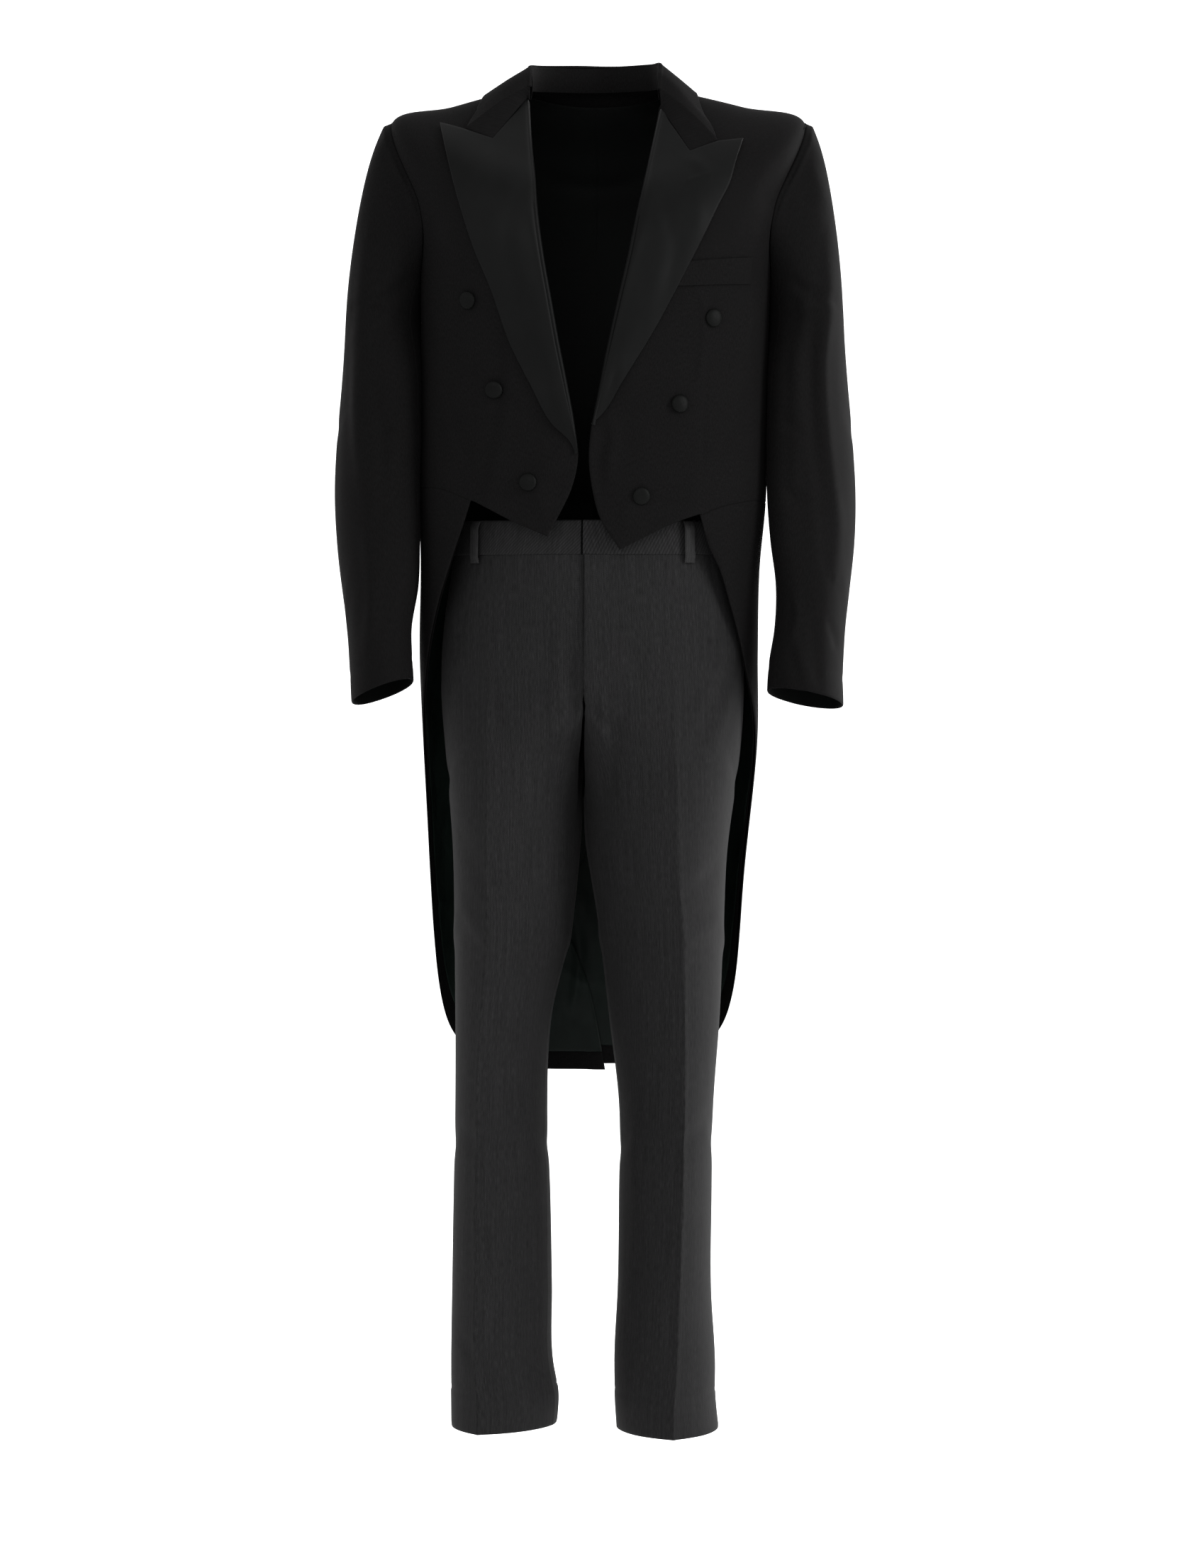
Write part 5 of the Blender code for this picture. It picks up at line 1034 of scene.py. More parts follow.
# ---------------------------------------------------------------- materials
class Nodes:
    """Short names for making a node material."""

    def __init__(self, name):
        self.m = bpy.data.materials.new(name)
        self.m.use_nodes = True
        self.t = self.m.node_tree
        self.shader = self.t.nodes["Principled BSDF"]

    def new(self, kind, **values):
        node = self.t.nodes.new(kind)
        for key, value in values.items():
            if key in node.inputs:
                node.inputs[key].default_value = value
            else:
                setattr(node, key, value)
        return node

    def link(self, a, b):
        self.t.links.new(a, b)

    def cloth_place(self, scale):
        """The cloth's own directions, in metres, times scale."""
        uv = self.new("ShaderNodeUVMap", uv_map="cloth")
        move = self.new("ShaderNodeMapping")
        move.inputs["Scale"].default_value = scale
        self.link(uv.outputs["UV"], move.inputs["Vector"])
        return move.outputs["Vector"]

    def space(self, scale):
        here = self.new("ShaderNodeTexCoord")
        move = self.new("ShaderNodeMapping")
        move.inputs["Scale"].default_value = scale
        self.link(here.outputs["Object"], move.inputs["Vector"])
        return move.outputs["Vector"]

    def noise(self, at, detail=3.0, rough=0.55, scale=1.0):
        node = self.new("ShaderNodeTexNoise")
        node.inputs["Scale"].default_value = scale
        node.inputs["Detail"].default_value = detail
        node.inputs["Roughness"].default_value = rough
        self.link(at, node.inputs["Vector"])
        return node.outputs["Fac"]

    def ramp(self, fac, stops):
        node = self.new("ShaderNodeValToRGB")
        e = node.color_ramp.elements
        while len(e) < len(stops):
            e.new(0.5)
        for i, (at, colour) in enumerate(stops):
            e[i].position = at
            e[i].color = (*colour, 1) if hasattr(colour, "__len__") else (colour, colour, colour, 1)
        self.link(fac, node.inputs["Fac"])
        return node.outputs["Color"]

    def mix(self, fac, a, b, kind="MIX"):
        node = self.new("ShaderNodeMix", data_type="RGBA", blend_type=kind)
        if hasattr(fac, "links"):
            self.link(fac, node.inputs[0])
        else:
            node.inputs[0].default_value = fac
        self.link(a, node.inputs[6])
        self.link(b, node.inputs[7])
        return node.outputs[2]

    def bump(self, height, strength, distance, normal=None):
        node = self.new("ShaderNodeBump")
        node.inputs["Strength"].default_value = strength
        node.inputs["Distance"].default_value = distance
        self.link(height, node.inputs["Height"])
        if normal is not None:
            self.link(normal, node.inputs["Normal"])
        return node.outputs["Normal"]

    def twill(self, at, angle, period, distortion=0.6):
        """Diagonal ribs of that period in metres."""
        turn = self.new("ShaderNodeMapping")
        turn.inputs["Rotation"].default_value = (0, 0, math.radians(angle))
        self.link(at, turn.inputs["Vector"])
        node = self.new("ShaderNodeTexWave", wave_type="BANDS", bands_direction="X", wave_profile="SIN")
        node.inputs["Scale"].default_value = 0.314 / period
        node.inputs["Distortion"].default_value = distortion
        node.inputs["Detail"].default_value = 1.0
        node.inputs["Detail Scale"].default_value = 2.0
        self.link(turn.outputs["Vector"], node.inputs["Vector"])
        return node.outputs["Fac"]


def wool(name, dark, light, sheen=0.35, rough=0.82, specular=0.28):
    k = Nodes(name)
    at = k.cloth_place((1, 1, 1))
    fibre = k.noise(k.cloth_place((900, 260, 1)), 3.0, 0.6)
    mottle = k.noise(k.space((26, 26, 14)), 4.0, 0.6)
    base = k.ramp(fibre, [(0.3, dark), (0.72, light)])
    tone = k.ramp(mottle, [(0.25, 0.86), (0.75, 1.13)])
    k.link(k.mix(1.0, base, tone, "MULTIPLY"), k.shader.inputs["Base Color"])
    ribs = k.twill(at, 63, 0.0011)
    normal = k.bump(ribs, 0.28, 0.0002)
    normal = k.bump(fibre, 0.4, 0.0003, normal)
    normal = k.bump(k.noise(k.space((90, 90, 60)), 3.0, 0.5), 0.16, 0.0012, normal)
    k.link(normal, k.shader.inputs["Normal"])
    k.link(k.ramp(mottle, [(0.2, rough - 0.05), (0.8, rough + 0.05)]), k.shader.inputs["Roughness"])
    k.shader.inputs["Specular IOR Level"].default_value = specular
    k.shader.inputs["Sheen Weight"].default_value = sheen
    k.shader.inputs["Sheen Roughness"].default_value = 0.45
    k.shader.inputs["Sheen Tint"].default_value = (*SHEEN_TINT, 1)
    return k.m


SHEEN_TINT = (0.62, 0.58, 0.60)


def satin(name, dark, light, rough=0.4, crinkle=0.0, specular=0.5, sheen=0.06, aniso=0.35):
    k = Nodes(name)
    threads = k.noise(k.cloth_place((1500, 120, 1)), 2.0, 0.5)
    mottle = k.noise(k.space((22, 22, 12)), 4.0, 0.55)
    base = k.ramp(mottle, [(0.3, dark), (0.7, light)])
    k.link(base, k.shader.inputs["Base Color"])
    normal = k.bump(threads, 0.12, 0.0001)
    normal = k.bump(k.noise(k.space((45, 45, 28)), 3.0, 0.5), 0.10, 0.0010, normal)
    if crinkle:
        wrinkles = k.new("ShaderNodeTexNoise", noise_type="RIDGED_MULTIFRACTAL")
        wrinkles.inputs["Scale"].default_value = 1.0
        wrinkles.inputs["Detail"].default_value = 4.0
        k.link(k.space((34, 34, 18)), wrinkles.inputs["Vector"])
        normal = k.bump(wrinkles.outputs["Fac"], crinkle, 0.004, normal)
    k.link(normal, k.shader.inputs["Normal"])
    k.link(k.ramp(mottle, [(0.2, rough - 0.05), (0.8, rough + 0.07)]), k.shader.inputs["Roughness"])
    k.shader.inputs["Specular IOR Level"].default_value = specular
    k.shader.inputs["Sheen Weight"].default_value = sheen
    k.shader.inputs["Anisotropic"].default_value = aniso
    return k.m


def heather(name, dark, light, weave=0.25, angle=None, sheen=0.3):
    """Charcoal worsted: short pale dashes along the cloth in a dark ground, over a very fine herringbone."""
    k = Nodes(name)
    at = k.cloth_place((1, 1, 1))
    dashes = k.noise(k.cloth_place((1250, 110, 1)), 2.0, 0.6)
    streaks = k.noise(k.cloth_place((620, 12, 1)), 3.0, 0.6)
    mottle = k.noise(k.space((18, 18, 10)), 4.0, 0.6)
    base = k.ramp(dashes, [(0.3, dark), (0.5, tuple((a + b) / 2.15 for a, b in zip(dark, light))), (0.74, light)])
    base = k.mix(1.0, base, k.ramp(streaks, [(0.3, 0.72), (0.7, 1.30)]), "MULTIPLY")
    base = k.mix(1.0, base, k.ramp(mottle, [(0.25, 0.95), (0.75, 1.05)]), "MULTIPLY")
    # a herringbone: ribs that change their slope every few millimetres across
    split = k.new("ShaderNodeSeparateXYZ")
    k.link(at, split.inputs[0])
    zig = k.new("ShaderNodeMath", operation="PINGPONG")
    zig.inputs[1].default_value = 0.0055
    k.link(split.outputs["X"], zig.inputs[0])
    slope = k.new("ShaderNodeMath", operation="ADD")
    k.link(zig.outputs[0], slope.inputs[0])
    k.link(split.outputs["Y"], slope.inputs[1])
    ribs = k.new("ShaderNodeMath", operation="MULTIPLY")
    ribs.inputs[1].default_value = 2 * math.pi / 0.0024
    k.link(slope.outputs[0], ribs.inputs[0])
    rib = k.new("ShaderNodeMath", operation="SINE")
    k.link(ribs.outputs[0], rib.inputs[0])
    unit = k.new("ShaderNodeMapRange")
    unit.inputs["From Min"].default_value = -1
    k.link(rib.outputs[0], unit.inputs["Value"])
    ribs_out = unit.outputs["Result"] if angle is None else k.twill(at, angle, 0.0030, 0.3)
    base = k.mix(1.0, base, k.ramp(ribs_out, [(0.2, 1 - weave), (0.8, 1 + weave)]), "MULTIPLY")
    k.link(base, k.shader.inputs["Base Color"])
    normal = k.bump(ribs_out, 0.2, 0.0002)
    normal = k.bump(dashes, 0.35, 0.0003, normal)
    normal = k.bump(k.noise(k.space((80, 80, 50)), 3.0, 0.5), 0.15, 0.0012, normal)
    k.link(normal, k.shader.inputs["Normal"])
    k.shader.inputs["Roughness"].default_value = 0.85
    k.shader.inputs["Specular IOR Level"].default_value = 0.06
    k.shader.inputs["Sheen Weight"].default_value = sheen
    k.shader.inputs["Sheen Roughness"].default_value = 0.45
    k.shader.inputs["Sheen Tint"].default_value = (0.75, 0.74, 0.74, 1)
    return k.m


WOOL = wool("black_wool", (0.00137, 0.00131, 0.00133), (0.0029, 0.00277, 0.00281), sheen=0.004, specular=0.022)
FACED = satin("black_satin", (0.00104, 0.00109, 0.00107), (0.00180, 0.00188, 0.00185), rough=0.46, specular=0.036, sheen=0.0, aniso=0.15)
COVERED = satin("button_satin", (0.0012, 0.00125, 0.0012), (0.0018, 0.0019, 0.0018), rough=0.45, specular=0.026, sheen=0.0, aniso=0.0)
INSIDE = satin("body_lining", (0.0010, 0.0012, 0.0011), (0.0018, 0.0021, 0.0020), rough=0.62, crinkle=0.08, specular=0.03, sheen=0.0)
# painted light: a lighter copy of the tail lining, for the skirts' lining that lies in shade beside the trousers
SKIRT_LINING_PAINTED_LIGHT = satin("tail_side_lining_painted_light", (0.0034, 0.0056, 0.0047), (0.0082, 0.0128, 0.0108), rough=0.5, crinkle=0.55, specular=0.05, sheen=0.0)
LINED = satin("tail_lining", (0.0018, 0.0030, 0.0025), (0.0044, 0.0068, 0.0058), rough=0.45, crinkle=0.55, specular=0.055, sheen=0.0)
GREY = heather("charcoal_herringbone", (0.0029, 0.0029, 0.0030), (0.0075, 0.0074, 0.0076), weave=0.09, sheen=0.010)
BAND = heather("waistband_cloth", (0.0036, 0.0036, 0.0037), (0.0078, 0.0077, 0.0079), weave=0.28, angle=38, sheen=0.006)
# painted light: the trousers' cloth made lighter for the belt loops, a painted highlight where they stand out from the
# band
LOOP_CLOTH_PAINTED_LIGHT = heather("belt_loop_cloth", (0.0056, 0.0056, 0.0057), (0.0118, 0.0117, 0.0119), weave=0.08, sheen=0.012)
TROUSER_IN = satin("trouser_inside", (0.004, 0.004, 0.004), (0.006, 0.006, 0.006), rough=0.6, specular=0.08, sheen=0.0)

# ---------------------------------------------------------------- the coat's body
NAMES = {LEFT: "left", RIGHT: "right"}


def strip(side, al, near, far, n, rows=False):
    """Part of a grid of angles and levels, between two distances in mm from its last column, or from its first row, as n columns or rows."""
    if rows:
        al = np.swapaxes(al, 0, 1)[:, ::-1]
    p = coat(side, al[..., 0], al[..., 1])
    d = np.concatenate([np.cumsum(np.linalg.norm(np.diff(p[:, ::-1], axis=1), axis=-1), axis=1)[:, ::-1], np.zeros((len(p), 1))], 1)
    out = np.empty((len(al), n, 2))
    for i in range(len(al)):
        stop = d[i, 0] if far is None else min(far, d[i, 0])
        want = np.linspace(stop, near, n)
        for k in (0, 1):
            out[i, :, k] = np.interp(-want, -d[i], al[i, :, k])
    if rows:
        out = np.swapaxes(out[:, ::-1], 0, 1)
    return out


def unit_rows(*parts):
    return np.unique(np.round(np.concatenate(parts), 6))


def near_sleeve(p):
    """Less where the body lies against the sleeve."""
    return 1 - 0.75 * soft((np.abs(p[..., 0]) - 168) / 16) * soft((p[..., 1] + 95) / 30) * soft((75 - p[..., 1]) / 30) * soft((-120 - p[..., 2]) / 60) * soft((p[..., 2] + 690) / 60)


def lap_of_coat(side):
    """A shallow dip round each of the front's buttons, where they pull the cloth, on the faces that look to the front.
    """

    def at(p, n):
        x, z = p[..., 0], p[..., 2]
        out = np.zeros(x.shape)
        for bx, bz in FRONT_BUTTONS[side]:
            r = np.hypot(x - bx, z - bz)
            out -= 1.1 * np.exp(-((r / 11) ** 2)) * (n[..., 1] < 0)
        return out

    return at


def relaxed(p, us, row):
    """The panel with its rows near one row eased, where the back of the armhole starts, so that no bend runs in from there."""
    weight = np.exp(-(((np.arange(len(p)) - row) / 15.0) ** 2))[:, None] * (0.4 + 0.6 * soft(us / 0.1))[None]
    smooth = p.copy()
    for _ in range(130):
        smooth[1:-1] = (smooth[:-2] + 2 * smooth[1:-1] + smooth[2:]) / 4
    return p * (1 - weight[..., None]) + smooth * weight[..., None]


def build_body(side):
    tag = NAMES[side]
    us = fine(74, 190)
    ws = unit_rows(0.42 * fine(66, 230), 0.42 + 0.32 * fine(56, 190), 0.74 + 0.26 * fine(44, 150))
    p, al = front_panel(side, us, ws)
    cloth(f"front_{tag}", p, spine(p), CLOTH, (WOOL, INSIDE), [f"coat_front_{tag}"], folds=BODY_FOLDS, swell=(11, 130, 0.7), keep=near_sleeve(p), extra=lap_of_coat(side))
    p, al = side_panel(side, fine(34, 100), fine(70, 230))
    cloth(f"side_body_{tag}", p, spine(p), CLOTH, (WOOL, INSIDE), [f"coat_side_body_{tag}"], folds=BODY_FOLDS, swell=(11, 130, 0.7), keep=near_sleeve(p))
    us = fine(44, 110)
    ws = unit_rows(0.46 * fine(130, 640), 0.46 + 0.22 * fine(46, 230), 0.68 + 0.18 * fine(36, 200), 0.86 + 0.14 * fine(30, 130))
    p, al_back = back_panel(side, us, ws)
    p = relaxed(p, us, int(np.abs(ws - 0.86).argmin()))
    cloth(f"back_{tag}", p, spine(p), CLOTH, (WOOL, INSIDE), [f"coat_back_{tag}"], folds=BODY_FOLDS, swell=(11, 130, 0.7), keep=near_sleeve(p), floor=np.where(p[..., 2] < VENT_TOP_Z, -0.4, -9.0))
    us = fine(54, 150)
    ws = fine(148, 640)
    p, al_skirt = skirt_panel(side, us, ws)
    cloth(f"skirt_{tag}", p, spine(p), CLOTH, (WOOL, INSIDE), [f"coat_skirt_{tag}"], folds=BODY_FOLDS, swell=(11, 130, 0.7), keep=near_sleeve(p), floor=np.where(p[..., 2] < VENT_TOP_Z, -0.4, -9.0))
    for piece, al in (("back", al_back), ("skirt", al_skirt)):
        build_lining(side, piece, al)


FACE_DEEP = CLOTH + LINING_LAYER + LINING
VENT_TOP_Z = -430  # the lining starts below this


def build_lining(side, piece, al):
    """The tail's lining with the black band round it. Its outside here is the face that shows, toward the trousers."""
    tag = NAMES[side]
    keep = al[:, 0, 1] <= VENT_TOP
    al = al[keep]
    vent = piece == "back"
    lie = lambda g, more=0.0: coat(side, g[..., 0], g[..., 1], -FACE_DEEP - more + vent_step(side, g[..., 0], g[..., 1]))
    away = lambda p: 2 * p - spine(p, 0, 30)  # a point beyond the cloth, so that the face turns inward
    # the lining proper, up from the band and in from the free edge
    lined = strip(side, al, FACING + 0.6 if not vent else 0.0, None, 40)
    lined = strip(side, lined, 0.0, None, 150, rows=True)
    first = strip(side, lined, 0.0, FACING + 0.6, 2, rows=True)[-1]
    # rows between the band and the vent's top
    n = 108
    rows = []
    d = np.linalg.norm(np.diff(lie(lined), axis=0), axis=-1).mean(axis=1)
    d = np.concatenate([[0], np.cumsum(d)])
    want = np.concatenate([[FACING + 0.6, FACING + 1.8, FACING + 4], np.linspace(FACING + 6, d[-1] - 1, n)])
    lined = np.stack([np.stack([np.interp(want, d, lined[:, j, k]) for j in range(lined.shape[1])], -1) for k in (0, 1)], -1)
    p = lie(lined)
    crumple = lambda p, nn: 0.9 + 0.9 * np.sin(p[..., 2] / 17 + 1.3 * np.sin(p[..., 0] / 14) + 0.6 * np.sin(p[..., 2] / 41)) * np.cos(p[..., 0] / 19 + p[..., 2] / 67) * soft((-560 - p[..., 2]) / 120)
    # the skirts take the lighter copy of the lining, painted light for the shade they hang in
    cloth(f"{piece}_lined_{tag}", p, away(p), LINING, (LINED if vent else SKIRT_LINING_PAINTED_LIGHT,) * 2, [f"{piece}_lining_{tag}"], folds=LINING_FOLDS, swell=(23, 60, 0.5), extra=crumple, floor=-0.2)
    # the band along the hem
    band = strip(side, al, 0.0, None, 40)
    p0 = coat(side, band[..., 0], band[..., 1])
    d = np.concatenate([[0], np.cumsum(np.linalg.norm(np.diff(p0, axis=0), axis=-1).mean(axis=1))])
    want = np.array([0.4, 1.4, 4, 8, 12, 16, FACING - 1.2, FACING])
    hem = np.stack([np.stack([np.interp(want, d, band[:, j, k]) for j in range(band.shape[1])], -1) for k in (0, 1)], -1)
    p = lie(hem, 0.3)
    cloth(f"{piece}_hem_band_{tag}", p, away(p), LINING, (WOOL, WOOL), [f"{piece}_hem_facing_{tag}"], swell=(23, 60, 0.15))
    if not vent:
        edge = strip(side, al, 0.4, FACING, 9)
        p0 = coat(side, edge[..., 0], edge[..., 1])
        d = np.concatenate([[0], np.cumsum(np.linalg.norm(np.diff(p0, axis=0), axis=-1).mean(axis=1))])
        want = np.concatenate([[FACING * 1.08, FACING * 1.12], np.linspace(FACING * 1.3, d[-1], 150)])
        edge = np.stack([np.stack([np.interp(want, d, edge[:, j, k]) for j in range(edge.shape[1])], -1) for k in (0, 1)], -1)
        p = lie(edge, 0.3)
        cloth(f"skirt_edge_band_{tag}", p, away(p), LINING, (WOOL, WOOL), [f"skirt_edge_facing_{tag}"], swell=(23, 60, 0.15))


# ---------------------------------------------------------------- lapels, collar and pocket
LAPEL_WALL = 1.3


def build_lapel(side):
    """The lapel with its roll: the facing goes round the front's edge and a little way inside."""
    tag = NAMES[side]
    edge, roll = path(LAPEL_EDGE[side]), path(FRONT_EDGE[side])
    top, notch = lapel_top(side)
    ts = np.linspace(0, 1, 400)
    line = roll(ts)
    foot, head = LAPEL_FOOT[side], LAPEL_TOP[side][0]
    t0 = float(np.interp(foot[1], line[:, 1], ts))
    inner = lambda t: roll(t0 + (1 - t0) * np.asarray(t)) + (np.array(head) - line[-1]) * np.asarray(t)[:, None] ** 4
    start = inner(np.zeros(1))[0]
    width = 3.0
    low = lambda u: start * (1 - np.asarray(u))[:, None] + edge(np.zeros(1)) * np.asarray(u)[:, None] + np.array([side * width, 0]) * np.asarray(u)[:, None]
    outer = lambda t: edge(t) + np.array([side * width, 0]) * (1 - np.asarray(t))[:, None] ** 3
    us = np.concatenate([np.linspace(0, notch, 26), np.linspace(notch, 1, 24)[1:-1], [1 - 0.012, 1]])
    ws = fine(106, 390)
    xz = patch(low, top, inner, outer, us, ws)
    lie = 2.2 + (LAPEL_LIE - 2.2) * soft(ws / 0.08)
    radius = ((lie + 3.3) / 2)[:, None]
    shift = np.zeros(xz.shape)
    shift[..., 0] = side * radius * np.clip(1 - us[None] / 0.15, 0, 1) ** 1.5
    rise = lapel_rise(us[None], ws[:, None]) - LAPEL_LIE + lie[:, None]
    body = lifted(side, xz + shift, rise)
    theta = np.radians(np.array([180, 155, 130, 105, 85, 65, 45, 25, 10]))
    across = np.concatenate([np.linspace(16, 1.5, 5)[None] * (0.1 + 0.9 * soft(ws / 0.05)[:, None]) + radius, radius * (1 - np.sin(theta))[None]], 1)
    out = np.concatenate([np.repeat(lie[:, None] - 2 * radius, 5, axis=1), lie[:, None] - radius * (1 - np.cos(theta))[None]], 1)
    base = xz[:, :1].repeat(across.shape[1], axis=1).copy()
    base[..., 0] += side * across
    rolled = lifted(side, base, out)
    p = np.concatenate([rolled, body], 1)
    # the normals all round the roll
    du, dw = np.gradient(p, axis=1), np.gradient(p, axis=0)
    n = np.cross(du, dw)
    n /= np.linalg.norm(n, axis=-1, keepdims=True)
    if n[60, -10, 1] > 0:
        n = -n
    cols = rolled.shape[1]
    only = np.concatenate([np.zeros(cols), soft(us / 0.2)])[None]

    def more(q, nn):
        x, z = q[..., 0], q[..., 2]
        out = np.zeros(x.shape)
        if side == RIGHT:  # the worked buttonhole near the peak
            a, b = np.array([101.0, -94.0]), np.array([122.0, -88.0])
            d = b - a
            t = np.clip(((x - a[0]) * d[0] + (z - a[1]) * d[1]) / (d @ d), 0, 1)
            r = np.hypot(x - a[0] - t * d[0], z - a[1] - t * d[1])
            out += 0.9 * np.exp(-(((r - 1.9) / 1.1) ** 2)) - 0.9 * np.exp(-((r / 0.9) ** 2))
        return out

    cloth(f"lapel_cloth_{tag}", p, spine(p), LAPEL_WALL, (FACED, FACED), [f"lapel_{tag}"], folds=LAPEL_FOLDS, swell=(31, 80, 0.5), keep=only, n=n, inside=True, extra=more, low_edges=(0.6, 0.6, 0, 1))


def build_collar():
    """The fall with the fold it turns over at the top, and the stand inside it."""
    fold = [curve([r[0] for r in COLLAR], [r[k] for r in COLLAR]) for k in (1, 2, 3)]
    angle, level = [curve([r[0] for r in COLLAR], [r[k] for r in COLLAR]) for k in (4, 5)]
    us = np.concatenate([np.linspace(0, 0.9, 22), [0.95, 0.98, 1.0]])
    half = [0, COLLAR[0][0], 0.085, 0.12, 0.16, 0.2]
    ts = np.concatenate([half, np.linspace(0.2, 0.8, 13)[1:], 1 - np.array(half[-2::-1])])
    top = np.stack([f(ts) for f in fold], -1)
    low = np.where((ts <= 0.5)[:, None], coat(LEFT, angle(ts), level(ts), COLLAR_LIE), coat(RIGHT, 360 - angle(ts), level(ts), COLLAR_LIE))
    for side, tip in ((LEFT, 1), (RIGHT, -2)):
        low[tip] = lifted(side, np.array([COLLAR_TIP[side]]), COLLAR_LIE + 1)[0]
    out = low - top
    out[:, 2] = 0
    out /= np.linalg.norm(out, axis=1, keepdims=True)
    away = np.abs(ts - 0.5) * 2
    bulge = curve([0, 0.06, 0.35, 0.7, 1.0], [0, 0.3, 1.0, 0.7, 0])(us)
    puff = curve([0, 0.3, 0.5, 0.7, 1.0], COLLAR_PUFF)(away)[None] * bulge[:, None]
    fall = top[None] + (low - top)[None] * us[:, None, None] + out[None] * puff[..., None] * 0.5
    fall[..., 2] += puff * 0.6
    for side, end in ((LEFT, 0), (RIGHT, -1)):
        seam, notch = lapel_top(side)
        line = seam(us * notch)
        along = line[-1] - line[0]
        across = np.array([-along[1], along[0]]) / np.linalg.norm(along) * side
        fall[:, end] = lifted(side, line + across * 0.5, lapel_rise(us * notch, np.ones(len(us))))
    # the fold's own turn, to the inside
    theta = np.radians(np.array([172, 150, 125, 100, 75, 50, 25]))
    r = 2.4
    arc = top[None] - out[None] * (r * (1 - np.cos(theta)))[:, None, None]
    arc[..., 2] += (r * 0.9 * np.sin(theta))[:, None] - 0.4
    grid = np.concatenate([arc, fall], 0)
    # more columns: smooth between the tips, straight to the gorge
    dense = unit_rows(np.linspace(0, 0.05, 12), np.linspace(0.05, 0.95, 150), np.linspace(0.95, 1, 12))
    rows = []
    for row in grid:
        parts = []
        for k in range(3):
            inner = curve(ts[1:-1], row[1:-1, k])
            ends = np.interp(dense, ts, row[:, k])
            parts.append(np.where((dense < 0.05) | (dense > 0.95), ends, inner(dense)))
        rows.append(np.stack(parts, -1))
    p = np.stack(rows, 0)
    centre = np.stack([np.zeros(p.shape[:2]), np.zeros(p.shape[:2]), np.full(p.shape[:2], -60.0)], -1)
    cloth("collar_cloth", p, centre, COLLAR_WALL, (WOOL, WOOL), ["collar"], swell=(41, 70, 0.5), low_edges=(0.4, 1, 0.6, 0.6))
    keep = slice(3, -3)
    inward = -out[keep]
    stand = []
    drops_at = ((1.0, 3.5), (4.0, 3.6), (9, 3.9), (15, 3.9), (21, 3.2), (COLLAR_STAND, 2.4))
    for drop, off in drops_at:
        q = top[keep] + inward * off
        q[:, 2] -= drop
        stand.append(q)
    stand = np.stack(stand, 0)
    t2 = ts[keep]
    dense = np.linspace(t2[0], t2[-1], 120)
    stand = np.stack([np.stack([curve(t2, row[:, k])(dense) for k in range(3)], -1) for row in stand], 0)
    drops = np.linspace(0, 1, 14)
    stand = np.stack([np.stack([curve(np.linspace(0, 1, len(drops_at)), stand[:, j, k])(drops) for k in range(3)], -1) for j in range(stand.shape[1])], 1)
    cloth("collar_stand_cloth", stand, spine(stand, 0, 15), COLLAR_WALL, (WOOL, WOOL), ["collar_stand"], swell=(41, 70, 0.2))


def build_welt():
    us, ws = fine(46, 80), np.concatenate([[0, 0.05, 0.12], np.linspace(0.2, 0.8, 8), [0.88, 0.95, 1]])
    u, w = us[None, :, None], ws[:, None, None]
    a, b, c, d = (np.array(WELT[k], float) for k in ("low in", "low out", "top in", "top out"))
    xz = (1 - w) * ((1 - u) * a + u * b) + w * ((1 - u) * c + u * d)
    al = on_front(RIGHT, xz[..., 0], xz[..., 1])
    p = coat(RIGHT, al[..., 0], al[..., 1], LAYER + WELT_THICK + 0.5)
    # it lies in the same swells and folds as the front under it
    cloth("welt_cloth", p, spine(p), WELT_THICK, (WOOL, WOOL), ["breast_pocket_welt"], folds=BODY_FOLDS, swell=(11, 130, 0.7), extra=lambda p, n: lap_of_coat(RIGHT)(p, n) + 0.7, low_edges=(0.3, 1.4, 0, 2.0))


